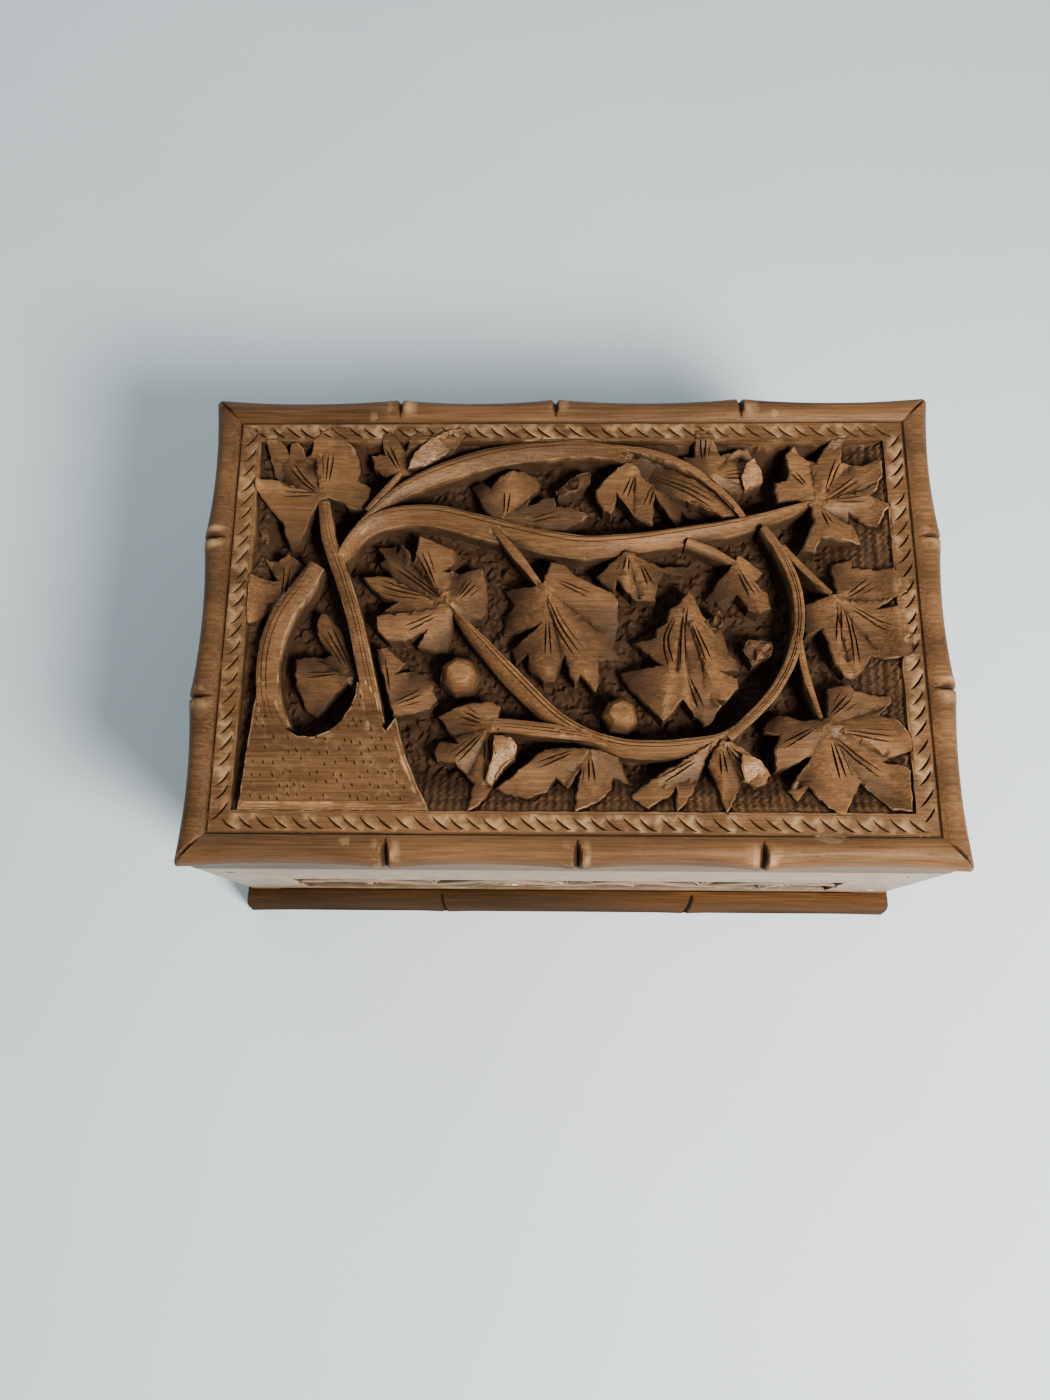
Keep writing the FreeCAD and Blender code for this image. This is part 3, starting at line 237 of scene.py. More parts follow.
     [[(23.4, 3.0), (22.6, -3.0), (22.4, -10.4)], [(21.0, 0.4), (19.2, -4.0), (20.0, -10.0)],
      [(24.6, -1.0), (27.6, -9.0)],
      [(23.4, -11.6), (26.0, -18.4)]]),
    ((-44.0, -12.5), 0.80, (0.0, 0.02),
     [(-50.9, 2.1), (-49.4, 1.6), (-47.0, -1.2), (-44.6, -6.5), (-43.0, -11.0), (-42.2, -14.8),
      (-44.7, -13.2),
      (-47.5, -15.8), (-50.9, -19.6), (-52.9, -18.6), (-55.2, -13.3), (-55.6, -7.6), (-48.4, -7.0),
      (-51.2, -3.6), (-52.0, -0.3)],
     [[(-44.6, -9.5), (-49.2, -1.0)], [(-46.5, -11.0), (-53.0, -11.5)]]),
    ((-36.6, -18.5), 0.82, (0.02, 0.0),
     [(-39.2, -6.0), (-37.0, -5.6), (-35.0, -7.5), (-32.8, -9.0), (-35.0, -11.3), (-31.2, -10.1),
      (-28.0, -12.6), (-26.5, -16.4), (-27.8, -18.4), (-31.0, -19.4), (-35.1, -20.0), (-36.2, -16.0),
      (-37.8, -11.0)],
     [[(-36.2, -15.0), (-37.8, -8.0)], [(-34.6, -17.6), (-29.4, -15.0)]]),
    ((-15.5, -22.5), 0.97, (0.01, 0.0),
     [(-14.5, -22.0), (-13.8, -18.0), (-15.2, -17.2), (-19.3, -17.2), (-23.0, -18.6), (-26.2, -20.0),
      (-22.2, -25.3), (-25.8, -24.6), (-27.0, -27.0), (-26.2, -29.0), (-22.6, -29.4), (-20.4, -31.5),
      (-18.8, -33.5), (-19.8, -39.2), (-17.6, -38.0), (-15.4, -34.6), (-13.6, -30.4), (-10.8, -28.6),
      (-10.6, -25.6), (-13.5, -24.6)],
     [[(-17.3, -23.8), (-22.7, -29.2)], [(-16.4, -24.4), (-16.2, -29.0)], [(-17.4, -21.4), (-21.6, -19.6)]]),
    ((4.0, -26.8), 0.95, (0.0, 0.02),
     [(-14.6, -34.6), (-11.0, -32.0), (-7.6, -28.6), (-5.0, -26.3), (0.0, -26.2), (6.0, -26.8), (9.6, -28.0),
      (10.4, -30.6), (12.1, -33.5), (8.4, -32.2), (7.8, -34.6), (5.5, -37.0), (0.9, -39.3), (1.0, -35.4),
      (2.0, -30.4), (-0.6, -34.4), (-2.8, -32.4), (-4.6, -35.2), (-8.4, -36.5), (-12.5, -35.6)],
     [[(0.4, -27.2), (-6.4, -30.0)], [(3.8, -28.4), (4.2, -33.4)]]),
    ((27.0, -25.8), 0.92, (0.0, 0.02),
     [(27.4, -25.4), (23.4, -27.8), (18.0, -31.0), (14.2, -33.6), (11.6, -36.0), (14.8, -38.6), (19.4, -35.6),
      (20.4, -34.0), (20.2, -39.2), (23.4, -35.6), (25.8, -30.2)],
     [[(24.4, -28.6), (17.4, -32.8)]]),
    ((29.4, -25.2), 1.02, (0.02, 0.0),
     [(29.2, -25.0), (27.8, -26.6), (26.8, -29.6), (28.2, -33.0), (29.6, -39.4), (31.6, -36.4), (33.3, -33.2),
      (35.6, -34.2), (37.6, -33.4), (38.5, -31.8), (36.6, -29.4), (34.6, -27.6), (31.6, -25.6)],
     [[(29.2, -27.0), (29.8, -31.6)], [(30.6, -26.6), (33.4, -29.4)]]),
]

# Vines: height share, crest place across the vine from -1 (its left) to 1, fall to the left and right
# edges, widths along the way, and the line that it follows
VINES = [
    (0.97, 0.3, 1.0, 0.6, (3.4, 4.6, 4.6, 4.4, 4.4),
     [(-51.9, 11.6), (-54.6, 6.8), (-58.1, 1.3), (-59.9, -4.2), (-60.4, -10.4), (-59.6, -17.4),
      (-57.2, -23.4)]),
    (0.99, -0.2, 0.7, 0.7, (2.4, 3.0, 3.0, 3.2, 3.0),
     [(-51.3, 25.6), (-49.8, 17.5), (-46.6, 9.0), (-43.4, -0.5), (-41.0, -10.0), (-39.2, -17.0),
      (-38.0, -22.0)]),
    (0.98, -0.6, 0.3, 2.2, (2.2, 3.6, 4.2, 4.4, 4.6, 3.8, 3.2, 2.6, 1.0),
     [(-47.2, 13.2), (-42.8, 19.6), (-36.0, 22.6), (-27.0, 22.6), (-14.0, 19.2), (0.0, 16.0), (10.0, 16.2),
      (22.0, 18.0), (36.0, 20.8), (50.0, 25.4)]),
    (0.95, -0.5, 0.3, 1.6, (2.0, 2.6, 3.6, 4.0, 4.0, 3.4, 2.4),
     [(-43.6, 19.8), (-37.0, 27.0), (-28.0, 32.2), (-15.0, 36.4), (0.0, 38.2), (8.0, 37.6), (13.0, 35.6)]),
    (0.95, 0.0, 0.2, 0.2, (1.2, 1.6, 1.6, 1.4),
     [(9.0, 38.2), (16.0, 37.2), (23.0, 34.6), (29.0, 30.2), (34.0, 24.6), (35.6, 22.0)]),
    (0.98, 0.0, 0.15, 0.25, (1.4, 2.0, 2.0, 2.0, 2.0, 1.8),
     [(39.6, 19.8), (42.6, 14.8), (45.0, 8.8), (45.9, 3.0), (45.4, -3.0), (43.4, -9.4), (39.8, -15.4),
      (35.2, -20.3), (30.6, -24.6)]),
    (0.97, -0.5, 0.2, 2.4, (0.8, 3.0, 3.6, 3.4, 3.0, 3.4, 3.4, 2.0),
     [(-24.3, 2.3), (-17.6, -5.6), (-9.6, -14.4), (-1.6, -21.8), (8.0, -26.0), (18.0, -26.8), (28.0, -25.4),
      (33.0, -22.6)]),
    (0.93, 0.0, 0.5, 0.6, (2.8, 2.8, 2.6, 1.6),
     [(-15.2, -22.0), (-8.0, -22.6), (0.0, -23.6), (7.0, -25.0)]),
    (0.93, 0.0, 0.3, 0.3, (1.4, 1.8, 1.2), [(-15.5, 19.6), (-11.0, 14.0), (-6.2, 7.4)]),
    (0.95, 0.0, 0.3, 0.3, (1.4, 1.4, 0.8), [(43.2, 15.6), (47.6, 10.4), (52.6, 5.4)]),
    (0.96, 0.0, 0.3, 0.3, (1.4, 1.4, 0.8), [(45.4, -4.0), (46.4, -11.6), (48.8, -20.6)]),
    (0.92, 0.0, 0.3, 0.3, (1.2, 1.6, 1.8), [(-35.4, 32.4), (-38.6, 28.2), (-42.0, 23.6)]),
    (0.91, 0.0, 0.3, 0.3, (1.4, 1.4, 0.8), [(24.0, 17.0), (29.0, 15.0), (33.6, 12.2)]),
]

# Places along the first two vines, the stems, from which they run out into the trunk
STEM_MERGES = (0.8, 0.82)

# Tree trunk with the loop between its stems, buds and rough leftovers
TRUNK = [(-64.0, -39.2), (-27.2, -39.2), (-29.6, -34.5), (-31.8, -29.4), (-33.4, -24.6), (-34.5, -20.4),
         (-36.2, -23.6), (-37.4, -20.0), (-38.6, -16.4), (-40.4, -13.8), (-42.2, -13.6), (-42.4, -16.2),
         (-43.4, -19.0), (-45.0, -21.6), (-47.4, -23.6), (-50.4, -24.8), (-53.4, -24.6), (-55.8, -23.2),
         (-57.4, -20.8), (-58.4, -17.6), (-61.8, -13.0), (-62.6, -20.0), (-63.3, -30.0)]
BUDS = [(-22.0, -11.2, 4.2), (9.8, -19.4, 3.7)]
CHIPS = [
    (0.55, [(0.5, 32.5), (4.6, 34.0), (4.4, 31.5), (2.0, 29.5), (-2.5, 27.5), (-3.0, 29.0)]),
    (0.62, [(36.0, -3.6), (40.5, -4.0), (40.3, -7.0), (36.4, -9.2), (34.6, -6.0)]),
    (0.6, [(27.0, 0.0), (28.8, -2.6), (31.0, -0.6), (30.4, 2.4)]),
]

# Lobes that are turned up to the front right: height share at their middle, and outline
TURNED_LOBES = [
    (0.97, [(-34.0, 33.2), (-30.5, 34.2), (-26.0, 36.8), (-22.6, 39.8), (-22.2, 42.0), (-25.0, 41.6),
            (-29.0, 39.6), (-32.5, 36.5)]),
    (1.0, [(-14.8, -24.6), (-11.6, -25.0), (-10.4, -26.4), (-10.8, -28.8), (-13.0, -30.6), (-15.2, -34.2),
           (-16.4, -33.0), (-15.0, -28.6)]),
    (1.0, [(33.0, -28.0), (36.4, -29.2), (38.4, -31.6), (37.4, -33.6), (35.4, -34.4), (33.4, -33.0),
           (32.6, -30.4)]),
    (0.97, [(36.4, 28.6), (40.2, 30.6), (39.8, 32.6), (38.2, 34.6), (36.6, 33.6), (35.6, 31.0)]),
]
TURNED_SLOPE = (-0.3, 0.48)

# Bamboo edge: nodes on each side, and rows across it as inset, height, waist share, node cut share, and how
# far that cut goes inward and down
NODES = {
    "front": (-35.2, 1.2, 36.2), "right": (-14.5, 17.5), "back": (-36.0, -3.0, 36.0), "left": (-16.7, 17.3),
}
EDGE_ROWS = [
    (6.3, 71.5, 0.0, 0.0, 0.0, 1.0), (6.05, 71.95, 0.0, 0.0, 0.0, 1.0), (5.3, 72.45, 0.05, 0.1, 0.0, 1.0),
    (4.5, 72.8, 0.15, 0.45, 0.0, 1.0), (3.7, 72.97, 0.3, 0.8, 0.0, 1.0), (2.8, 73.0, 0.5, 1.0, 0.0, 1.0),
    (1.9, 72.75, 0.7, 1.0, 0.3, 0.95), (1.1, 72.15, 0.85, 1.0, 0.6, 0.8), (0.5, 71.2, 1.0, 0.9, 0.85, 0.5),
    (0.1, 70.2, 1.0, 0.8, 1.0, 0.2), (0.0, 69.6, 1.0, 0.6, 1.0, 0.0), (0.2, 68.6, 0.8, 0.3, 1.0, 0.0),
    (0.55, 66.0, 0.4, 0.0, 1.0, 0.0), (0.9, 63.0, 0.0, 0.0, 1.0, 0.0), (0.9, 59.0, 0.0, 0.0, 1.0, 0.0),
]
WAIST = 0.95
CREST_SAG = 0.25
NODE_CUTS = {"front": (1.9, 0.9), "right": (1.2, 0.65), "back": (1.2, 0.7), "left": (1.1, 0.6)}
NODE_CLEAR = 2.1
NODE_OFFSETS = (-1.8, -1.1, -0.7, -0.35, 0.0, 0.35, 0.7, 1.1, 1.8)
NODE_NARROW_SHARE = 0.25
NODE_LIP = 0.12
NODE_LIP_PLACE = 1.6
NODE_LIP_HALF = 0.9
# Brighter rim beside each node cut: wear with a painted glint
NODE_LIP_WEAR_AND_GLINT = 9
MITRE_CUT = 0.8
MITRE_HALF = 0.6
MITRE_INSETS = (0.35, 0.9)
MITRE_CLEAR = 1.5
EDGE_END = 13.0
EDGE_FADE = 3.0
AT_CORNER = 0.01
# Painted light falloff along the bamboo edge: middle tone and spread from left to right
EDGE_FALLOFF_TONE = (0.3, 0.25)
# Darkening in the edge's cuts, and on the lid with depth and in cuts: dirt and painted shade
EDGE_CUT_DIRT_AND_SHADE = 0.6
LID_CUT_DIRT_AND_SHADE = 0.7

# Outlines as a knife leaves them: longest side and how far points wander
LEAF_KNIFE = (0.9, 0.2)
LOBE_KNIFE = (0.9, 0.15)
LONG_KNIFE = (1.6, 0.1)
PANEL_KNIFE = (1.5, 0.12)
STRAIGHT_KNIFE = (2.0, 0.0)

# Leaves: ranges for each lobe's left fold, right fold, fall and drop, then cuts as half width and depth
LOBE_RANGES = ((0.08, 0.55), (0.08, 0.55), (-0.02, 0.1), (0.0, 1.1))
LOBE_TONES = (0.0, 0.95)
# Lighter tone of the turned lobes: painted highlight; it also lowers their roughness
TURNED_HIGHLIGHT_TONE = 0.9
LOBE_BLEND = 0.03
DROP_REACH = 3.0
LEAF_BEVEL = 0.3
LEAF_CLEAR = 1.0
LEAF_LIFT = 0.25
LEAF_DIP = 0.9
VALLEY_PLACES = np.arange(0.8, 14, 0.9)
VALLEY_CUTS = (0.1, 0.35)
VEIN_STEP = 1.2
VEIN_APART = (0.28, 0.6)
VEIN_CUT = (0.22, 0.6)
FINE_CUT = (0.13, 0.3)
STROKE_APART = 3.2
STROKE_SHARE = 0.4

# Vines: points along them, lines across, and how the stems sink into the trunk
VINE_STEP = 1.3
VINE_TONES = (0.42, 0.72)
VINE_BEVEL = 0.12
VINE_ROUND = 1.5
VINE_OVER = 1.1
VINE_LINE_SHARES = (-0.85, -0.45, 0.0, 0.45, 0.85)
CREST_CUT_SHARE = 0.22
CUT_VINE_HALF = 0.9
NO_MERGE = 2.0
MERGE_FLAT = 0.25
MERGE_SINK = 0.12
SINK_DEPTH = 0.5
SINK_LIMIT = 2

# Rises of the ground towards each side of the field: share of its depth, start and end
GROUND_RISES = {
    "right": [(0.6, 48.0, 62.0), (0.28, 61.5, 65.3)],
    "front": [(0.64, 28.0, 37.0), (0.26, 36.2, 39.3)],
    "back": [(0.7, 36.5, 39.6)],
    "left": [(0.62, 60.8, 63.6)],
}
SHALLOW_RIGHT = 52
SHALLOW_FRONT = -31
SHALLOW_ROUGH_SHARE = 0.3

# Punch marks on the ground
PUNCH_STEPS = (0.8, 0.72)
PUNCH_INSET = 0.5
PUNCH_WANDER = 0.2
PUNCH_SHIFT = 0.4
SHALLOW_PUNCH = 0.32
DEEP_PUNCHES = (0, 0, 0.25, 0.45, 0.7)

# Gouge cuts on the band: spacing and aim along x and y, and the cut's line as shares of its reach and bend
BAND_TONE = 0.26
BAND_EDGE_CUT = 0.4
BAND_EDGE_LINE = 0.4
BAND_INNER_LINE = (1.006, 1.01)
BAND_SPACING = (3.3, 3.2)
BAND_AIMS = ((0.78, -0.62), (0.62, 0.78))
BAND_WANDER = 0.35
BAND_REACH = (2.1, 2.6)
BAND_BEND = (0.2, 0.55)
BAND_LINE_SHARES = [(-1.0, 0.0), (-0.45, 0.8), (0.1, 1.0), (0.6, 0.7), (1.0, 0.0)]
BAND_CUT_HALF = 0.18
BAND_CUT_DEPTH = (0.4, 0.65)

# Trunk: ledge along its foot, sloping right flank, lines with their wear and painted highlight, and strokes
TRUNK_TOP_SHARE = 0.95
TRUNK_LEDGE = 1.3
LEDGE_START = -37.6
LEDGE_SLOPE = 0.5
# Lighter tone on the ledge: painted highlight where it faces the light
LEDGE_LIT_TONE = 1.2
LEDGE_LIT_START = -37.5
TRUNK_TONE = 0.2
TRUNK_FLANK = 2.2
FLANK_SPOT = (-31.4, -29.4)
FLANK_LEAN = 0.4
FLANK_SLOPE = 0.6
TRUNK_CLEAR = 0.4
TRUNK_LINES = [
    ([(-63.4, -37.4), (-45.0, -37.4), (-30.4, -37.4)], 0.0),
    ([(-63.4, -37.7), (-45.0, -37.7), (-29.4, -37.7)], 1.4),
    ([(-63.4, -38.3), (-45.0, -38.3), (-29.4, -38.3)], 1.4),
    ([(-30.6, -37.2), (-33.6, -29.4), (-36.3, -22.8)], 0.0),
    ([(-29.6, -36.8), (-32.6, -29.4), (-35.2, -22.4)], 1.2),
]
STROKE_ROWS = (-36.4, -15.0)
STROKE_COLUMNS = (-61.8, -31.0)
STROKE_INSET = (-2.0, 0.0)
STROKE_WANDER = 0.7
STROKES_KEPT_SHARE = 0.8
STROKE_AIM = (0.28, -0.62)
STROKE_STRETCH = (0.8, 1.3)
STROKE_HALF = 0.17
STROKE_DEPTH = (0.25, 0.45)
STROKE_SPACING = (1.3, 2.4)
STROKE_ROW_SPACING = (1.9, 2.6)

# Buds and rough leftovers
BUD_SIDES = 7
BUD_RAGGED = (0.85, 1.1)
BUD_TONE = 0.7
BUD_TOP_SHARE = 0.9
BUD_FLAT_SHARE = 0.55
BUD_RING_SHARE = 0.57
BUD_SLOPE = 1.5
BUD_CUT_REACH = 1.5
BUD_CUT = (0.12, 0.2)
BUD_CUT_PLACES = (-1.0, 0.0, 1.0)
BUD_CUT_AIMS = ((0.8, 0.6), (-0.6, 0.8))
CHIP_TONE = 0.4

# Uneven surfaces: size of the bumps, their height and a seed
NOISE_SPREAD = 90
LEAF_RIPPLE = (2.2, 0.3)
VINE_RIPPLE = (3.5, 0.12)
RIPPLES = {
    "band": (5.0, 0.12, 3), "bud": (1.5, 0.2, 4), "trunk": (5.0, 0.1, 5), "lobe": (2.0, 0.3, 6),
    "chip": (0.9, 1.2, 8), "ground": (2.2, 0.9, 11), "panel": (2.0, 0.5, 2),
}

# Colours of the wood, and how dirt with painted shade, and wear with painted glints, change them
SHINE_TINT = (1.0, 0.88, 0.72, 1)
PORE_COLOUR = (0.018, 0.008, 0.003, 1)
WORN_AND_GLINT_COLOUR = (0.34, 0.205, 0.100, 1)
DIRT_AND_SHADE_COLOUR = (0.021, 0.0105, 0.0053, 1)
WOOD_TONES = ((0.062, 0.027, 0.0100, 1), (0.104, 0.0475, 0.0180, 1), (0.165, 0.084, 0.036, 1))
WALL_TONES = ((0.105, 0.050, 0.019, 1), (0.165, 0.083, 0.034, 1), (0.225, 0.122, 0.054, 1))
PLINTH_TONES = ((0.012, 0.0045, 0.0015, 1), (0.050, 0.020, 0.006, 1), (0.095, 0.042, 0.013, 1))
BOARD_TONES = ((0.10, 0.055, 0.025, 1), (0.17, 0.095, 0.045, 1), (0.23, 0.14, 0.07, 1))
FILLER_TONES = ((0.15, 0.08, 0.033, 1), (0.23, 0.135, 0.062, 1), (0.32, 0.20, 0.10, 1))
LID_SHINE = 0.13
LID_SMUDGES = (0.66, 1.24)
WALL_SMUDGES = (0.84, 1.12)
PLAIN_MARK = (0.0, 0.0, 0.5, 1.0)


# Plane geometry

def wander(amount):
    """Random step to either side."""
    return rng.uniform(-amount, amount)


def unit(turn):
    """Unit vector for each angle in radians."""
    return np.stack([np.cos(turn), np.sin(turn)], axis=-1)


def turn_between(aim, angle):
    """Turn from an aim to an angle, at most half a turn either way."""
    return (angle - aim + math.pi) % (2 * math.pi) - math.pi


def within(outline, spots):
    """Which spots lie inside a closed outline."""
    x, y = spots[:, 0], spots[:, 1]
    inside = np.zeros(len(spots), bool)
    x1, y1 = outline[-1]
    for x2, y2 in outline:
        if y1 != y2:
            crosses = (y1 > y) != (y2 > y)
            inside ^= crosses & (x < (x2 - x1) * (y - y1) / (y2 - y1) + x1)
        x1, y1 = x2, y2
    return inside


def inward(points):
    """Vectors that move each corner of a closed outline inward by one unit, with a limit at sharp corners."""
    following = np.roll(points, -1, axis=0)
    area = 0.5 * np.sum(points[:, 0] * following[:, 1] - following[:, 0] * points[:, 1])
    ahead = following - points
    ahead /= np.linalg.norm(ahead, axis=1)[:, None]
    normal = np.stack([-ahead[:, 1], ahead[:, 0]], axis=1) * np.sign(area)
    both = normal + np.roll(normal, 1, axis=0)
    return 2 * both / np.maximum((both ** 2).sum(axis=1), LEAST_CORNER)[:, None]


def smooth_line(knots, step):
    """Even points on a smooth curve through the knots."""
    knots = np.array(knots, float)
    ends = np.concatenate([[2 * knots[0] - knots[1]], knots, [2 * knots[-1] - knots[-2]]])
    fine = []
    for a, b, c, d in zip(ends, ends[1:], ends[2:], ends[3:]):
        for t in np.arange(0, 1, CURVE_STEP):
            fine.append(0.5 * (2 * b + (c - a) * t + (2 * a - 5 * b + 4 * c - d) * t ** 2
                               + (3 * b - a - 3 * c + d) * t ** 3))
    fine.append(knots[-1])
    fine = np.array(fine)
    walked = np.concatenate([[0], np.cumsum(np.linalg.norm(np.diff(fine, axis=0), axis=1))])
    count = max(3, round(walked[-1] / step) + 1)
    marks = np.linspace(0, walked[-1], count)
    return np.stack([np.interp(marks, walked, fine[:, i]) for i in (0, 1)], axis=1)


def left_of(line):
    """Unit vectors to the left of a line at each of its points."""
    ahead = np.gradient(line, axis=0)
    ahead /= np.linalg.norm(ahead, axis=1)[:, None]
    return np.stack([-ahead[:, 1], ahead[:, 0]], axis=1)


def beside(line, spots):
    """For each spot: place along the line from 0 to 1, and distance to its left."""
    start, run = line[:-1], np.diff(line, axis=0)
    gap = spots[:, None, :] - start[None]
    along = np.clip((gap * run).sum(axis=2) / (run ** 2).sum(axis=1), 0, 1)
    miss = gap - along[..., None] * run
    distance = np.linalg.norm(miss, axis=2)
    best = distance.argmin(axis=1)
    rows = np.arange(len(spots))
    offset = run[best, 0] * miss[rows, best, 1] - run[best, 1] * miss[rows, best, 0]
    return (best + along[rows, best]) / len(run), np.sign(offset) * distance[rows, best]


def ragged(outline, longest, amount):
    """Outline with points added along its sides, moved a little in or out as a knife leaves them."""
    points = []
    for start, end in zip(np.array(outline), np.roll(outline, -1, axis=0)):
        run = end - start
        count = max(1, round(np.linalg.norm(run) / longest))
        across = np.array([-run[1], run[0]]) / np.linalg.norm(run)
        points.append(start)
        points += [start + run * i / count + across * wander(amount) for i in range(1, count)]
    return np.array(points)


def ripple(spots, scale, amount, seed):
    """Smooth uneven surface, as a knife leaves it."""
    return np.array([amount * noise.noise(Vector((x / scale, y / scale, seed))) for x, y in spots])


def ease(value, start, end):
    """Smooth rise from 0 at the start to 1 at the end."""
    t = np.clip((value - start) / (end - start), 0, 1)
    return t * t * (3 - 2 * t)


def spaced(half, count, nodes, clear, offsets):
    """Even places along a side, and closer ones around its nodes."""
    places = {round(place, 2) for place in np.linspace(-half, half, count)}
    places = {place for place in places if min(abs(place - node) for node in nodes) > clear}
    return places | {node + offset for node in nodes for offset in offsets}


def waist_at(place, stops):
    """Share of the waist at a place: 0 at a node or an end, 1 midway between two."""
    near, far = next(gap for gap in zip(stops, stops[1:]) if gap[0] <= place <= gap[1])
    share = (place - near) / (far - near)
    return 1 - (2 * share - 1) ** 2


def stretched(place, keep, half, reach):
    """Place along a side whose ends, past keep, are stretched from half to reach."""
    over = abs(place) - keep
    if over <= 0:
        return place
    return math.copysign(keep + over * (reach - keep) / (half - keep), place)


def ring_faces(first, rows, count):
    """Quads between rows of points that each form a closed ring."""
    faces = []
    for row in range(rows - 1):
        a, b = first + row * count, first + (row + 1) * count
        for i in range(count):
            j = (i + 1) % count
            faces.append([a + i, b + i, b + j, a + j])
    return faces


# Carved panels

class Relief:
    """Regions of different height over a base, cut into triangles, with upright walls between the regions."""

    def __init__(self, border, base, border_cut=0.0):
        self.spots = []
        self.edges = []
        self.regions = []
        self.heights = [base]
        self.tones = [0.5]
        self.line(border, border_cut, closed=True)

    def line(self, points, cut=0.0, wear_and_glint=0.0, closed=False):
        """Edge that the triangles follow; cut lowers its points."""
        first = len(self.spots)
        cuts = np.broadcast_to(cut, len(points))
        self.spots += [(float(x), float(y), float(c), wear_and_glint) for (x, y), c in zip(points, cuts)]
        last = len(self.spots)
        self.edges += [(i, i + 1) for i in range(first, last - 1)]
        if closed:
            self.edges.append((last - 1, first))

    def dots(self, points, cuts):
        """Loose points, each lowered by its cut."""
        self.spots += [(float(x), float(y), float(c), 0.0) for (x, y), c in zip(points, cuts)]

    def area(self, outline, height, tone):
        """Region without an edge of its own."""
        self.regions.append(outline)
        self.heights.append(height)
        self.tones.append(tone)

    def region(self, outline, height, tone=0.5, bevel=0.2, lip=0.3):
        """Region with a bevelled edge painted as worn and glinting, and a line inside it unless lip is 0."""
        outline = np.array(outline, float)
        self.area(outline, height, tone)
        self.line(outline, bevel, 1.0, closed=True)
        if lip:
            self.line(outline + inward(outline) * lip, closed=True)

    def groove(self, line, half_width, depth, lean=1.0, wear_and_glint=0.0):
        """V-cut along a line, pointed at both ends.

        Lean widens its right side, and wear with a painted glint brightens its left rim.
        """
        line = np.array(line, float)
        swell = np.sin(np.linspace(0, math.pi, len(line))) ** GROOVE_SWELL
        swell[[0, -1]] = 0
        side = left_of(line) * (half_width * swell)[:, None]
        self.line(line + side, wear_and_glint=wear_and_glint)
        self.line(line - side * lean)
        self.line(line, depth * swell)

    def covered(self, spots):
        """Which spots lie in any region."""
        inside = np.zeros(len(spots), bool)
        for outline in self.regions:
            inside |= within(outline, spots)
        return inside

    def mesh(self):
        """Points, faces, and wear with painted glint, tone and cut of each point."""
        coords = [Vector(spot[:2]) for spot in self.spots]
        verts, _, faces, origins, _, _ = delaunay_2d_cdt(coords, self.edges, [], 0, SAME_SPOT, True)
        flat = np.array([tuple(vert) for vert in verts])
        cut = np.zeros(len(flat))
        wear_and_glint = np.zeros(len(flat))
        for index, sources in enumerate(origins):
            if sources:
                cut[index] = max(self.spots[i][2] for i in sources)
                wear_and_glint[index] = max(self.spots[i][3] for i in sources)
        faces = np.array(faces)
        centres = flat[faces].mean(axis=1)
        owner = np.zeros(len(faces), int)
        best = self.heights[0](centres)
        for number, outline in enumerate(self.regions, start=1):
            inside = np.nonzero(within(outline, centres))[0]
            if len(inside):
                height = self.heights[number](centres[inside])
                wins = height > best[inside]
                owner[inside[wins]] = number
                best[inside[wins]] = height[wins]
        return self.walled(flat, cut, wear_and_glint, faces, owner)

    def walled(self, flat, cut, wear_and_glint, faces, owner):
        """The same triangles raised to their region's height, and walls where two regions meet."""
        spots = []
        marks = []
        corner = {}
        levels = {}
        for number in np.unique(owner):
            used = np.unique(faces[owner == number])
            tops = self.heights[number](flat[used]) - cut[used]
            tone = self.tones[number]
            tones = tone(flat[used]) if callable(tone) else np.full(len(used), tone)
            for vert, top, tone in zip(used, tops, tones):
                level = levels.setdefault(vert, {})
                key = round(float(top), 2)
                if key not in level:
                    level[key] = len(spots)
                    spots.append((flat[vert][0], flat[vert][1], float(top)))
                    marks.append((wear_and_glint[vert], float(tone), cut[vert]))
                corner[vert, number] = key
        result = []
        sides = {}
        for face, number in zip(faces, owner):
            result.append([levels[vert][corner[vert, number]] for vert in face])
            for i in range(3):
                a, b = face[i], face[(i + 1) % 3]
                sides.setdefault((min(a, b), max(a, b)), []).append((a, b, number))
        for pair in sides.values():
            if len(pair) == 2 and pair[0][2] != pair[1][2]:
                a, b, number = pair[0]
                other = pair[1][2]
                wall = self.rungs(levels[a], corner[a, number], corner[a, other])
                wall += self.rungs(levels[b], corner[b, other], corner[b, number])
                if len(wall) > 2:
                    result.append(wall)
        return spots, result, marks

    @staticmethod
    def rungs(level, start, end):
        """Points of one upright line from one height to another."""
        keys = sorted(key for key in level if min(start, end) <= key <= max(start, end))
        return [level[key] for key in (keys if start < end else reversed(keys))]


def frame_strips(relief, outer, inner, height, tone=0.5):
    """Four mitred strips around a sunk field."""
    for i in range(4):
        j = (i + 1) % 4
        relief.area(np.array([outer[i], outer[j], inner[j], inner[i]]), height, tone)
        relief.line([outer[i], inner[i]])


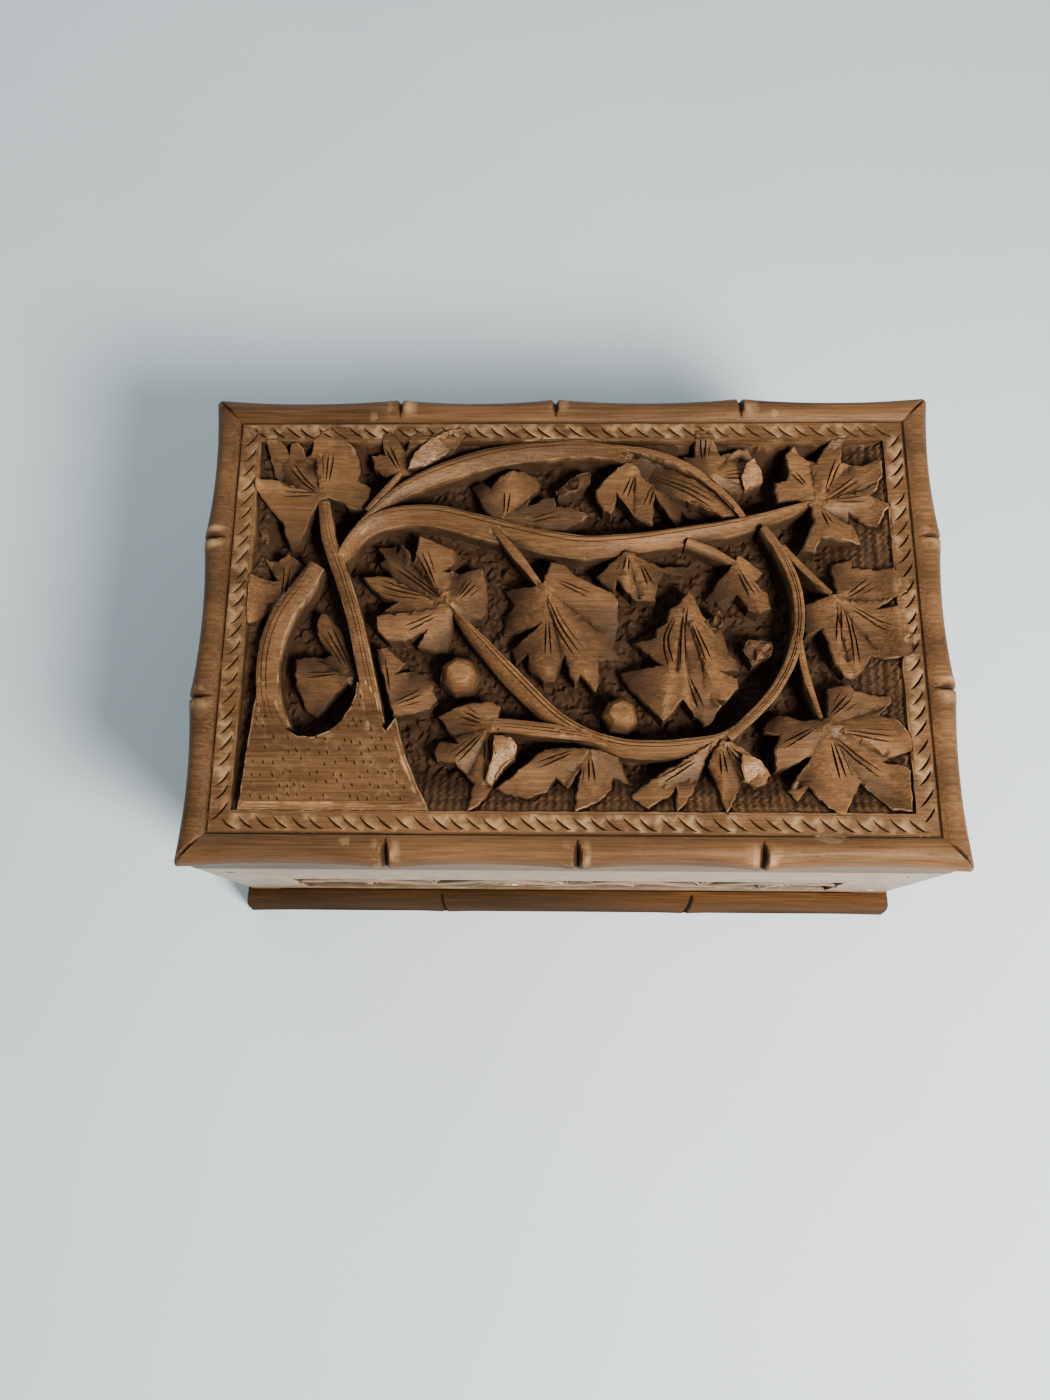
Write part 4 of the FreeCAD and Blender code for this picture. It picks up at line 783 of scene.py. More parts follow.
def add_leaf(relief, base, top, slope, outline, veins, least=None):
    """Lobed leaf: each lobe is a low roof along its vein, with a pair of fine cuts beside the ridge.

    Least gives the lowest height that the leaf may have at a spot.
    """
    base = np.array(base)
    aims = [math.atan2(vein[-1][1] - base[1], vein[-1][0] - base[0]) for vein in veins]
    lobes = [[rng.uniform(*limits) for limits in LOBE_RANGES] for _ in veins]
    seed = rng.uniform(0, NOISE_SPREAD)
    shades = np.array([rng.uniform(*LOBE_TONES) for _ in range(2 * len(lobes))])

    def height(spots):
        gap = spots - base
        reach = np.linalg.norm(gap, axis=1)
        angle = np.arctan2(gap[:, 1], gap[:, 0])
        total = np.zeros(len(spots))
        weights = np.zeros(len(spots))
        for aim, (left_fold, right_fold, fall, drop) in zip(aims, lobes):
            turn = turn_between(aim, angle)
            fold = np.where(turn > 0, left_fold, right_fold)
            weight = np.exp(-np.abs(turn) / LOBE_BLEND)
            lean = fold * np.sin(np.minimum(np.abs(turn), math.pi / 2)) + fall
            total += weight * (reach * lean + drop * np.minimum(1, reach / DROP_REACH))
            weights += weight
        result = top + gap @ np.array(slope) + ripple(spots, *LEAF_RIPPLE, seed) - total / weights
        return result if least is None else np.maximum(result, least(spots))

    def tone(spots):
        gap = spots - base
        angle = np.arctan2(gap[:, 1], gap[:, 0])
        turns = np.array([turn_between(aim, angle) for aim in aims])
        nearest = np.abs(turns).argmin(axis=0)
        left = turns[nearest, np.arange(len(spots))] > 0
        return shades[2 * nearest + left]

    relief.region(ragged(outline, *LEAF_KNIFE), height, tone, bevel=LEAF_BEVEL)
    ordered = sorted(aims)
    for near, far in zip(ordered, ordered[1:] + [ordered[0] + 2 * math.pi]):
        spoke = base + np.outer(VALLEY_PLACES, unit((near + far) / 2))
        outside = np.append(~within(np.array(outline), spoke), True).argmax()
        if outside > 1:
            relief.line(spoke[:outside], np.linspace(*VALLEY_CUTS, outside))
    for vein in veins:
        line = smooth_line(vein, VEIN_STEP)
        apart = left_of(line) * np.linspace(*VEIN_APART, len(line))[:, None]
        for side in (-1, 1):
            relief.groove(line + apart * side, *VEIN_CUT)
            first = rng.randrange(len(line) // 2)
            stroke = (line + apart * side * STROKE_APART)[first:]
            if rng.random() < STROKE_SHARE and len(stroke) > 2 and within(outline, stroke).all():
                relief.groove(stroke, *FINE_CUT)


def add_vine(relief, top, crest, left_fall, right_fall, widths, knots, merge=NO_MERGE):
    """Vine of changing width, with its crest off the middle and fine lines along it.

    From the place merge it flattens and sinks, to run out into the trunk.
    """
    line = smooth_line(knots, VINE_STEP)
    places = np.linspace(0, 1, len(line))
    half = np.interp(places, np.linspace(0, 1, len(widths)), widths) / 2
    side = left_of(line) * half[:, None]
    seed = rng.uniform(0, NOISE_SPREAD)

    def height(spots):
        along, offset = beside(line, spots)
        across = -offset / np.interp(along, places, half)
        left = np.clip((crest - across) / (1 + crest), 0, VINE_OVER)
        right = np.clip((across - crest) / (1 - crest), 0, VINE_OVER)
        round_share = np.clip((merge - along) / MERGE_FLAT, 0, 1)
        sunk = np.clip((along - merge) / MERGE_SINK, 0, SINK_LIMIT)
        fall = left_fall * left ** VINE_ROUND + right_fall * right ** VINE_ROUND
        return top - fall * round_share - SINK_DEPTH * sunk + ripple(spots, *VINE_RIPPLE, seed)

    outline = np.concatenate([line + side, (line - side)[::-1]])
    relief.region(outline, height, rng.uniform(*VINE_TONES), bevel=VINE_BEVEL, lip=0)
    for share in VINE_LINE_SHARES:
        relief.line(line - side * share)
    if half.max() > CUT_VINE_HALF:
        for share in (crest - CREST_CUT_SHARE, crest + CREST_CUT_SHARE):
            relief.groove(line[1:-1] - side[1:-1] * share, *FINE_CUT)


# Carving of the lid

def lid_height(share):
    """Height at a share of the sunk field's depth."""
    return GROUND + share * FIELD_DEPTH


def shallow(spots):
    """Which spots lie on the shallow ground at the right and the front."""
    return (spots[:, 0] > SHALLOW_RIGHT) | (spots[:, 1] < SHALLOW_FRONT)


def lid_ground(spots):
    """Sunk ground: shallow towards the right and the front, deep elsewhere, steep at the back and left."""
    x, y = spots[:, 0], spots[:, 1]
    rises = []
    for side, away in (("right", x), ("front", -y), ("back", y), ("left", -x)):
        rises.append(sum(share * ease(away, start, end) for share, start, end in GROUND_RISES[side]))
    rough = ripple(spots, *RIPPLES["ground"]) * np.where(shallow(spots), SHALLOW_ROUGH_SHARE, 1.0)
    return GROUND + FIELD_DEPTH * np.maximum.reduce(rises) + rough


def leaf_floor(spots):
    """Lowest place for a leaf: on the band where it reaches over it, and clear of the ground."""
    inside = np.maximum(0, (FIELD_HALF - np.abs(spots)).min(axis=1))
    return np.maximum(BAND_TOP + LEAF_LIFT - LEAF_DIP * inside, lid_ground(spots) + LEAF_CLEAR)


def add_band(relief):
    """Flat band around the field, with curved gouge cuts that lean one way on each pair of sides."""
    field = CORNERS * FIELD_HALF
    frame_strips(relief, CORNERS * INNER_HALF, field,
                 lambda spots: BAND_TOP + ripple(spots, *RIPPLES["band"]), BAND_TONE)
    relief.line(ragged(field, *LONG_KNIFE), wear_and_glint=0.3, closed=True)
    relief.line(ragged(field * BAND_INNER_LINE, *STRAIGHT_KNIFE), closed=True)
    outer_line = [half - BAND_EDGE_LINE for half in INNER_HALF]
    relief.line(ragged(CORNERS * outer_line, *STRAIGHT_KNIFE), closed=True)
    middle = [(INNER_HALF[i] + FIELD_HALF[i]) / 2 for i in (0, 1)]
    for axis in (0, 1):
        half = FIELD_HALF[axis]
        count = int(2 * half / BAND_SPACING[axis])
        aim = np.array(BAND_AIMS[axis])
        for side in (-1, 1):
            for i in range(count + 1):
                along = -half + 2 * half * i / count + wander(BAND_WANDER)
                run = aim * rng.uniform(*BAND_REACH)
                spot = np.array([along, side * middle[1]] if axis == 0 else [side * middle[0], along])
                bend = np.array([aim[1], -aim[0]]) * rng.uniform(*BAND_BEND)
                line = [spot + run * place + bend * share for place, share in BAND_LINE_SHARES]
                relief.groove(line, BAND_CUT_HALF, rng.uniform(*BAND_CUT_DEPTH), lean=1.9, wear_and_glint=0.7)


def add_turned_lobe(relief, share, outline):
    """Lobe that is turned up to the front right, with a lighter face painted as a highlight over its glint.
    """
    middle = np.mean(outline, axis=0)

    def height(spots):
        rise = (spots - middle) @ np.array(TURNED_SLOPE)
        return np.minimum(LID_TOP, lid_height(share) + rise + ripple(spots, *RIPPLES["lobe"]))

    relief.region(ragged(outline, *LOBE_KNIFE), height, TURNED_HIGHLIGHT_TONE)


def trunk_height(spots):
    """Nearly level top that falls at the ledge and the flank, and stays clear of the ground."""
    x, y = spots[:, 0], spots[:, 1]
    ledge = np.clip(LEDGE_START - y, 0, TRUNK_LEDGE)
    flank = np.clip(x - FLANK_SPOT[0] + FLANK_LEAN * (y - FLANK_SPOT[1]) + TRUNK_FLANK, 0, TRUNK_FLANK)
    fall = LEDGE_SLOPE * ledge + FLANK_SLOPE * flank
    result = lid_height(TRUNK_TOP_SHARE) - fall + ripple(spots, *RIPPLES["trunk"])
    return np.maximum(result, lid_ground(spots) + TRUNK_CLEAR)


def trunk_tone_and_lit_ledge(spots):
    """Dark trunk with a painted highlight on its ledge, which faces the light."""
    return np.where(spots[:, 1] < LEDGE_LIT_START, LEDGE_LIT_TONE, TRUNK_TONE)


def add_trunk(relief):
    """Tree trunk with its ledge, and rows of short slanted punch marks."""
    relief.region(ragged(TRUNK, *LONG_KNIFE), trunk_height, trunk_tone_and_lit_ledge, bevel=0.05, lip=0.4)
    for line, wear_and_glint in TRUNK_LINES:
        relief.line(line, wear_and_glint=wear_and_glint)
    room = np.array(TRUNK) + np.array(STROKE_INSET)
    y = STROKE_ROWS[0]
    while y < STROKE_ROWS[1]:
        x = STROKE_COLUMNS[0]
        while x < STROKE_COLUMNS[1]:
            spot = np.array([x, y + wander(STROKE_WANDER)])
            if within(room, spot[None])[0] and rng.random() < STROKES_KEPT_SHARE:
                run = np.array(STROKE_AIM) * rng.uniform(*STROKE_STRETCH)
                depth = rng.uniform(*STROKE_DEPTH)
                relief.groove([spot - run, spot, spot + run], STROKE_HALF, depth, lean=1.6, wear_and_glint=0.2)
            x += rng.uniform(*STROKE_SPACING)
        y += rng.uniform(*STROKE_ROW_SPACING)


def add_bud(relief, middle, radius):
    """Round bud with a flat cross-cut top and sloping facets."""
    turns = np.linspace(0, 2 * math.pi, BUD_SIDES + 1)[:-1] + rng.uniform(0, 1)
    spokes = radius * unit(turns) * np.array([[rng.uniform(*BUD_RAGGED)] for _ in turns])

    def height(spots):
        away = np.linalg.norm(spots - middle, axis=1)
        fall = BUD_SLOPE * np.maximum(0, away - BUD_FLAT_SHARE * radius)
        return lid_height(BUD_TOP_SHARE) - fall + ripple(spots, *RIPPLES["bud"])

    relief.region(middle + spokes, height, BUD_TONE)
    relief.line(middle + BUD_RING_SHARE * spokes, closed=True)
    for offset in BUD_CUT_PLACES:
        for aim in BUD_CUT_AIMS:
            run = np.array(aim) * BUD_CUT_REACH
            start = middle + np.array([-aim[1], aim[0]]) * offset
            relief.groove([start - run, start, start + run], *BUD_CUT)


def add_chip(relief, share, outline):
    """Rough leftover on the ground."""
    def height(spots):
        return lid_height(share) + ripple(spots, *RIPPLES["chip"])

    relief.region(ragged(outline, *LEAF_KNIFE), height, CHIP_TONE)


def punch_ground(relief):
    """Rows of punch marks over the bare ground, and a coarser net of points on the carving."""
    columns, rows = [np.arange(PUNCH_INSET - half, half, step) for half, step in zip(FIELD_HALF, PUNCH_STEPS)]
    spots = []
    cuts = []
    for i, y in enumerate(rows):
        for j, x in enumerate(columns):
            spots.append((x + PUNCH_SHIFT * (i % 2) + wander(PUNCH_WANDER), y + wander(PUNCH_WANDER)))
            cuts.append((SHALLOW_PUNCH * ((i + j) % 2), rng.choice(DEEP_PUNCHES)))
    spots = np.array(spots)
    cuts = np.where(shallow(spots), *np.array(cuts).T)
    bare = ~relief.covered(spots)
    relief.dots(spots[bare], cuts[bare])
    kept = ~bare & (cuts == 0)
    relief.dots(spots[kept], np.zeros(kept.sum()))


def carve_field(relief):
    """Everything inside the bamboo edge."""
    add_band(relief)
    for base, share, slope, outline, veins in LEAVES:
        add_leaf(relief, base, lid_height(share), slope, outline, veins, leaf_floor)
    for share, outline in TURNED_LOBES:
        add_turned_lobe(relief, share, outline)
    for number, (share, *shape) in enumerate(VINES):
        merge = STEM_MERGES[number] if number < len(STEM_MERGES) else NO_MERGE
        add_vine(relief, lid_height(share), *shape, merge)
    add_trunk(relief)
    for x, y, radius in BUDS:
        add_bud(relief, np.array([x, y]), radius)
    for share, outline in CHIPS:
        add_chip(relief, share, outline)
    punch_ground(relief)


def edge_columns(side, half):
    """Places along one side of the lid, closer together at nodes and corners."""
    sign = 1 if side in ("front", "right") else -1
    nodes = [sign * node for node in NODES[side]]
    places = spaced(half, int(half) + 1, nodes, NODE_CLEAR, NODE_OFFSETS)
    places = {place for place in places if abs(place) < half - MITRE_CLEAR}
    places |= {end * (half - inset) for end in (-1, 1) for inset in MITRE_INSETS}
    return [sign * place for place in [-half] + sorted(places)]


def edge_ring(row):
    """One closed row of points around the bamboo edge, each with its cut, and wear with painted glint at the
    rims of node cuts.
    """
    inset, height, waist_share, cut_share, aim_in, aim_down = row
    points = []
    for side in ("front", "right", "back", "left"):
        half, across = LID_HALF if side in ("front", "back") else LID_HALF[::-1]
        stops = [-half, *NODES[side], half]
        node_depth, node_half = NODE_CUTS[side]
        node_half *= NODE_NARROW_SHARE + (1 - NODE_NARROW_SHARE) * cut_share
        for place in edge_columns(side, half):
            waist = waist_at(place, stops) * waist_share
            node_gap = min(abs(place - node) for node in NODES[side])
            corner_gap = half - abs(place)
            cut = node_depth * cut_share * max(0.0, 1 - node_gap / node_half)
            cut += MITRE_CUT * cut_share * max(0.0, 1 - corner_gap / MITRE_HALF)
            lip = NODE_LIP * cut_share * max(0.0, 1 - abs(node_gap - NODE_LIP_PLACE) / NODE_LIP_HALF)
            deep = inset + WAIST * waist + (cut - lip) * aim_in
            z = height - CREST_SAG * waist * (aim_down > 0) - cut * aim_down
            if corner_gap < AT_CORNER:
                deep = inset + cut * aim_in
                place = math.copysign(half - deep, place)
            else:
                reach = half - (inset + (deep - inset) * min(1.0, corner_gap / EDGE_FADE))
                place = stretched(place, half - EDGE_END, half, reach)
            outer = across - deep
            x, y = {"front": (place, -outer), "right": (outer, place),
                    "back": (place, outer), "left": (-outer, place)}[side]
            points.append((x, y, z, cut, min(1.0, NODE_LIP_WEAR_AND_GLINT * lip)))
    return points


# Meshes and materials

def painted_falloff_tone(x, middle, spread):
    """Painted light falloff: tone that grows from the left end of the box to the right, darker to the left
    where less light falls.
    """
    return middle + spread * x / LID_HALF[0]


def make_piece(name, spots, faces, material, body, replaced, tones=None):
    """Mesh piece in metres that rides on a body and stands for CAD nodes."""
    mesh = bpy.data.meshes.new(name)
    mesh.from_pydata([[value * MM for value in spot] for spot in spots], [], faces)
    if tones is not None:
        layer = mesh.color_attributes.new("relief", "FLOAT_COLOR", "POINT")
        layer.data.foreach_set("color", np.array(tones, np.float32).ravel())
    work = bmesh.new()
    work.from_mesh(mesh)
    bmesh.ops.remove_doubles(work, verts=work.verts, dist=WELD)
    bmesh.ops.dissolve_degenerate(work, dist=WELD, edges=work.edges)
    bmesh.ops.recalc_face_normals(work, faces=work.faces)
    for face in work.faces:
        face.smooth = True
    for edge in work.edges:
        edge.smooth = edge.calc_face_angle(0) < SHARP
    work.to_mesh(mesh)
    work.free()
    mesh.materials.append(material)
    piece = bpy.data.objects.new(name, mesh)
    bpy.context.scene.collection.objects.link(piece)
    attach(piece, body)
    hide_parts(*replaced)


class Paint:
    """Node material under construction."""

    def __init__(self, name):
        self.material = bpy.data.materials.new(name)
        self.material.use_nodes = True
        self.tree = self.material.node_tree
        self.shader = self.tree.nodes["Principled BSDF"]

    def set(self, node, key, value):
        if isinstance(value, bpy.types.NodeSocket):
            self.tree.links.new(value, node.inputs[key])
        else:
            node.inputs[key].default_value = value

    def add(self, kind, inputs, settings=()):
        node = self.tree.nodes.new(kind)
        for key, value in dict(settings).items():
            setattr(node, key, value)
        for key, value in inputs.items():
            self.set(node, key, value)
        return node

    def noise(self, stretch, detail=4.0, distortion=0.0):
        """Noise in the piece's own space, stretched along its grain."""
        place = self.add("ShaderNodeTexCoord", {}).outputs["Object"]
        place = self.add("ShaderNodeMapping", {"Vector": place, "Scale": stretch}).outputs[0]
        inputs = {"Vector": place, "Scale": 1.0, "Detail": detail, "Distortion": distortion}
        return self.add("ShaderNodeTexNoise", inputs).outputs[0]

    def ramp(self, value, low, high, start=0.0, end=1.0):
        inputs = {"Value": value, "From Min": low, "From Max": high, "To Min": start, "To Max": end}
        return self.add("ShaderNodeMapRange", inputs).outputs[0]

    def mix(self, share, first, second, blend="MIX"):
        settings = {"data_type": "RGBA", "blend_type": blend}
        return self.add("ShaderNodeMix", {0: share, 6: first, 7: second}, settings).outputs[2]

    def math(self, operation, first, second):
        return self.add("ShaderNodeMath", {0: first, 1: second}, {"operation": operation}).outputs[0]

    def shaded(self, colour, factor):
        """Colour times a grey factor."""
        grey = self.add("ShaderNodeCombineColor", {0: factor, 1: factor, 2: factor}).outputs[0]
        return self.mix(1.0, colour, grey, "MULTIPLY")

    def bump(self, strength, distance, height):
        node = self.add("ShaderNodeBump", {"Strength": strength, "Distance": distance, "Height": height})
        self.set(self.shader, "Normal", node.outputs[0])


def wood(name, grain, tones, roughness, shine=LID_SHINE, smudges=LID_SMUDGES):
    """Satin walnut with grain along one axis, dirt and painted shade in its hollows, and worn edges with
    painted glints.

    The relief attribute of a mesh gives depth (darkened as dirt and painted shade), wear with painted glint,
    and tone at each point.
    """
    paint = Paint(name)
    dark, middle, light = tones

    def along(length, width):
        return tuple(length if axis == grain else width for axis in "XYZ")

    bands = paint.noise(along(14, 60), 2, 0.3)
    fibre = paint.noise(along(60, 2200), 4)
    pores = paint.ramp(paint.noise(along(170, 4200), 2), 0.58, 0.7)
    patches = paint.noise((240, 240, 240), 3)
    relief = paint.add("ShaderNodeAttribute", {}, {"attribute_name": "relief"})
    depth, wear_and_glint, tone = paint.add("ShaderNodeSeparateColor", {0: relief.outputs["Color"]}).outputs

    colour = paint.mix(paint.ramp(bands, 0.2, 0.8), dark, middle)
    colour = paint.mix(paint.ramp(fibre, 0.4, 0.9), colour, light)
    colour = paint.mix(paint.math("MULTIPLY", pores, 0.38), colour, PORE_COLOUR)
    colour = paint.shaded(colour, paint.ramp(tone, 0.0, 1.0, 0.62, 1.38))
    colour = paint.shaded(colour, paint.ramp(paint.noise(along(25, 110), 3), 0.35, 0.65, *smudges))
    # Worn edges, made brighter still as painted glints
    worn_and_glint = paint.math("MULTIPLY", wear_and_glint, paint.ramp(patches, 0.42, 0.62, 0.0, 0.85))
    colour = paint.mix(worn_and_glint, colour, WORN_AND_GLINT_COLOUR)
    # Ambient occlusion paints shade into hollows and gaps; with depth and dirt patches it darkens the colour
    # towards dirt and painted shade
    closed = paint.add("ShaderNodeAmbientOcclusion", {"Distance": 0.004}, {"samples": 6}).outputs["AO"]
    dirt_and_shade = paint.math("ADD", depth, paint.ramp(patches, 0.3, 0.7, -0.12, 0.12))
    dirt_and_shade = paint.math("ADD", dirt_and_shade, paint.ramp(closed, 0.35, 0.95, 0.6, 0.0))
    colour = paint.mix(paint.ramp(dirt_and_shade, 0.2, 0.72, 0.0, 0.94), colour, DIRT_AND_SHADE_COLOUR)
    paint.set(paint.shader, "Base Color", colour)

    rough = paint.ramp(fibre, 0.3, 0.8, roughness - 0.08, roughness + 0.14)
    rough = paint.math("ADD", rough, paint.ramp(depth, 0.2, 0.9, 0.0, 0.35))
    rough = paint.math("SUBTRACT", rough, paint.ramp(tone, 0.82, 0.9, 0.0, 0.12))
    paint.set(paint.shader, "Roughness", rough)
    paint.set(paint.shader, "Specular IOR Level", shine)
    paint.set(paint.shader, "Specular Tint", SHINE_TINT)

    height = paint.math("MULTIPLY", fibre, 0.5)
    for scale, detail, share in ((520, 3, 0.6), (1900, 2, 0.4)):
        marks = paint.noise((scale, scale, scale), detail)
        height = paint.math("ADD", height, paint.math("MULTIPLY", marks, share))
    height = paint.math("SUBTRACT", height, paint.math("MULTIPLY", pores, 0.5))
    paint.bump(0.4, 0.0003, height)
    return paint.material


def metal(name, base, tint, roughness):
    """Aged metal with tarnish in patches and fine scratches."""
    paint = Paint(name)
    patches = paint.noise((500, 500, 500), 4)
    scratches = paint.noise((300, 4000, 4000), 2)
    paint.set(paint.shader, "Base Color", paint.mix(paint.ramp(patches, 0.4, 0.7), base, tint))
    paint.set(paint.shader, "Metallic", 1.0)
    paint.set(paint.shader, "Roughness", paint.ramp(scratches, 0.3, 0.7, roughness - 0.08, roughness + 0.1))
    paint.bump(0.1, 0.0001, scratches)
    return paint.material


walnut = wood("walnut_x", "X", WOOD_TONES, 0.45)
wall_x = wood("wall_x", "X", WALL_TONES, 0.34, 0.8, WALL_SMUDGES)
wall_y = wood("wall_y", "Y", WALL_TONES, 0.42, 0.3, WALL_SMUDGES)
back_x = wood("back_x", "X", WALL_TONES, 0.42, 0.3, WALL_SMUDGES)
plinth_x = wood("plinth_x", "X", PLINTH_TONES, 0.7, 0.03)
plinth_y = wood("plinth_y", "Y", PLINTH_TONES, 0.7, 0.03)
board = wood("board_x", "X", BOARD_TONES, 0.62)
filler = wood("filler", "X", FILLER_TONES, 0.7)
brass = metal("aged_brass", (0.62, 0.43, 0.17, 1), (0.30, 0.19, 0.07, 1), 0.36)
steel = metal("dull_steel", (0.34, 0.33, 0.32, 1), (0.16, 0.13, 0.11, 1), 0.45)


# Lid

def underside(spots):
    """Flat underside with the bevel behind the hinge line."""
    return LID_BOTTOM + np.maximum(0, BEVEL_SLOPE * (spots[:, 1] - PIVOT_Y) - BEVEL_DROP)


def hinge_seat(spots):
    """Seat for a hinge leaf, with a round hollow for its barrel."""
    back = spots[:, 1] - PIVOT_Y
    barrel = PIVOT_Z + np.sqrt(np.maximum(0, BARREL_ROOM ** 2 - back ** 2))
    return np.where(back < BARREL_FRONT, SEAT_TOP, np.maximum(SEAT_TOP, barrel))


def lid_underside(border):
    """Points and faces of the underside with its hinge seats."""
    under = Relief(border, underside)
    for centre in HINGE_PLACES:
        left, right = centre - SEAT_HALF, centre + SEAT_HALF
        seat = [(left, SEAT_FRONT), (right, SEAT_FRONT), (right, SEAT_BACK), (left, SEAT_BACK)]
        under.region(seat, hinge_seat, bevel=0, lip=0)
        for y in SEAT_LINES:
            under.line([(left, y), (right, y)])
    under.line([(-WALL_HALF[0], BEVEL_START), (WALL_HALF[0], BEVEL_START)])
    return under.mesh()[:2]


def carved_lid():
    """The whole lid: bamboo edge, band, sunk field with its relief, sides and underside."""
    rings = [edge_ring(row) for row in EDGE_ROWS]
    rings[-1] = [(x, y, float(underside(np.array([[x, y]]))[0]), 0, 0) for x, y, *_ in rings[-1]]
    relief = Relief([point[:2] for point in rings[0]], lid_ground, BAND_EDGE_CUT)
    carve_field(relief)
    spots, faces, marks = relief.mesh()
    # Each point is darker with depth below the band and in cuts (dirt and painted shade), then has its wear
    # with painted glint, and its tone
    tones = [((BAND_TOP - spot[2]) / FIELD_DEPTH + LID_CUT_DIRT_AND_SHADE * cut, wear_and_glint, tone, 1.0)
             for spot, (wear_and_glint, tone, cut) in zip(spots, marks)]
    faces += ring_faces(len(spots), len(rings), len(rings[0]))
    for ring in rings:
        spots += [point[:3] for point in ring]
        tones += [(EDGE_CUT_DIRT_AND_SHADE * cut, wear_and_glint, painted_falloff_tone(x, *EDGE_FALLOFF_TONE), 1.0) for x, _, _, cut, wear_and_glint in ring]
    more, more_faces = lid_underside([point[:2] for point in rings[-1]])
    start = len(spots)
    spots += more
    tones += [PLAIN_MARK] * len(more)
    faces += [[start + i for i in face] for face in more_faces]
    make_piece("carved_lid", spots, faces, walnut, "lid", ["lid_panel"], tones)
    return BVHTree.FromPolygons(spots, faces)


def lid_plugs(lid_tree):
    """Irregular patches of filler, flush with the bamboo edge."""
    spots = []
    faces = []
    down = Vector((0, 0, -1))
    for x, y, reach_x, reach_y in PLUGS:
        first = len(spots)
        reaches = [rng.uniform(*PLUG_RAGGED) for _ in range(PLUG_SIDES)]
        for share, lift in PLUG_ROWS:
            for i, reach in enumerate(reaches):
                turn = 2 * math.pi * i / PLUG_SIDES
                px = x + reach_x * reach * share * math.cos(turn)
                py = y + reach_y * reach * share * math.sin(turn)
                hit = lid_tree.ray_cast(Vector((px, py, PLUG_RAY_START)), down)[0]
                spots.append((px, py, min(hit.z + lift, BOX_TOP)))
        faces += ring_faces(first, len(PLUG_ROWS), PLUG_SIDES)
        faces.append(list(range(first, first + PLUG_SIDES)))
        faces.append(list(range(len(spots) - PLUG_SIDES, len(spots))))
    make_piece("filler_plugs", spots, faces, filler, "lid", ["lid_plugs"])


lid_plugs(carved_lid())


# Walls and plinth

def place_on(side):
    """Function that turns along, up and out on a named side into a point of the box."""
    half_x, half_y = WALL_HALF
    return {
        "front": lambda along, up, out: (along, -half_y - out, up),
        "back": lambda along, up, out: (-along, half_y + out, up),
        "left": lambda along, up, out: (-half_x - out, -along, up),
        "right": lambda along, up, out: (half_x + out, along, up),
    }[side]


def panel_carving(relief, half):
    """Waving vine with lobed leaves on both sides."""
    middle = (PANEL_LOW + PANEL_HIGH) / 2
    count = round(2 * half / PANEL_SPACING)
    step = 2 * half / count
    knots = [(-half, middle)]
    for i in range(1, count):
        knots.append((-half + step * i, middle + (PANEL_WAVE if i % 2 else -PANEL_WAVE)))
    knots.append((half, middle))
    add_vine(relief, *PANEL_VINE, knots)
    for i in range(1, count):
        x, y = knots[i]
        aim = -90 if i % 2 else 90
        foot = np.array([x, middle - (y - middle) * PANEL_LEAF_FOOT_SHARE])
        outline = []
        for angle, share in PANEL_LEAF_SHAPE:
            outline.append(foot + unit(math.radians(aim + angle)) * share * PANEL_LEAF)
        spokes = [unit(math.radians(aim + angle)) * PANEL_LEAF for angle in PANEL_VEINS]
        veins = [[foot + spoke * share for share in PANEL_VEIN_SHARES] for spoke in spokes]
        add_leaf(relief, foot, PANEL_LEAF_TOP, (0.0, 0.0), outline, veins)
        halfway = ((x + foot[0]) / 2, (y + foot[1]) / 2)
        add_vine(relief, *PANEL_STEM, [(x, y), halfway, tuple(foot)])


def carved_wall(side, half, lapped, material):
    """Wall with a sunk carved panel in its outer face and lapped or square ends."""
    point_on = place_on(side)
    panel_half = half - PANEL_MARGIN
    border = np.array([(-half, WALL_LOW), (half, WALL_LOW), (half, WALL_TOP), (-half, WALL_TOP)])
    panel = np.array([(-panel_half, PANEL_LOW), (panel_half, PANEL_LOW),
                      (panel_half, PANEL_HIGH), (-panel_half, PANEL_HIGH)])
    relief = Relief(border, lambda spots: ripple(spots, *RIPPLES["panel"]) - PANEL_DEPTH)
    frame_strips(relief, border, panel, lambda spots: np.full(len(spots), FACE))
    relief.line(ragged(panel, *PANEL_KNIFE), cut=0.25, wear_and_glint=1.0, closed=True)
    panel_carving(relief, panel_half)
    near, far = NET_INSETS
    net = np.array([(x + wander(NET_WANDER), y + wander(NET_WANDER))
                    for x in np.arange(-panel_half + near, panel_half - far, NET_STEP)
                    for y in np.arange(PANEL_LOW + near, PANEL_HIGH - far, NET_STEP)])
    relief.dots(net, [rng.uniform(0, NET_CUT) if bare else 0 for bare in ~relief.covered(net)])
    spots, faces, marks = relief.mesh()
    # Each point is darker in the sunk panel and in cuts: dirt and painted shade
    tones = [(-out / PANEL_DEPTH * PANEL_DIRT_AND_SHADE + WALL_CUT_DIRT_AND_SHADE * cut, wear_and_glint, tone, 1.0)
             for (_, _, out), (wear_and_glint, tone, cut) in zip(spots, marks)]
    points = [point_on(*spot) for spot in spots]
    plan = [(-half, FACE), (half, FACE)]
    if lapped:
        plan += [(half, -LIP), (half - WALL, -LIP), (half - WALL, -WALL), (WALL - half, -WALL),
                 (WALL - half, -LIP), (-half, -LIP)]
    else:
        plan += [(half, -WALL), (-half, -WALL)]
    first = len(points)
    count = len(plan)
    for up in (WALL_LOW, WALL_TOP):
        points += [point_on(along, up, out) for along, out in plan]
    tones += [PLAIN_MARK] * (2 * count)
    for i in range(1, count):
        j = (i + 1) % count
        faces.append([first + i, first + j, first + count + j, first + count + i])
    faces.append(list(range(first, first + count)))
    faces.append(list(range(first + count, first + 2 * count)))
    make_piece("carved_" + side + "_wall", points, faces, material, "box", [side + "_wall"], tones)


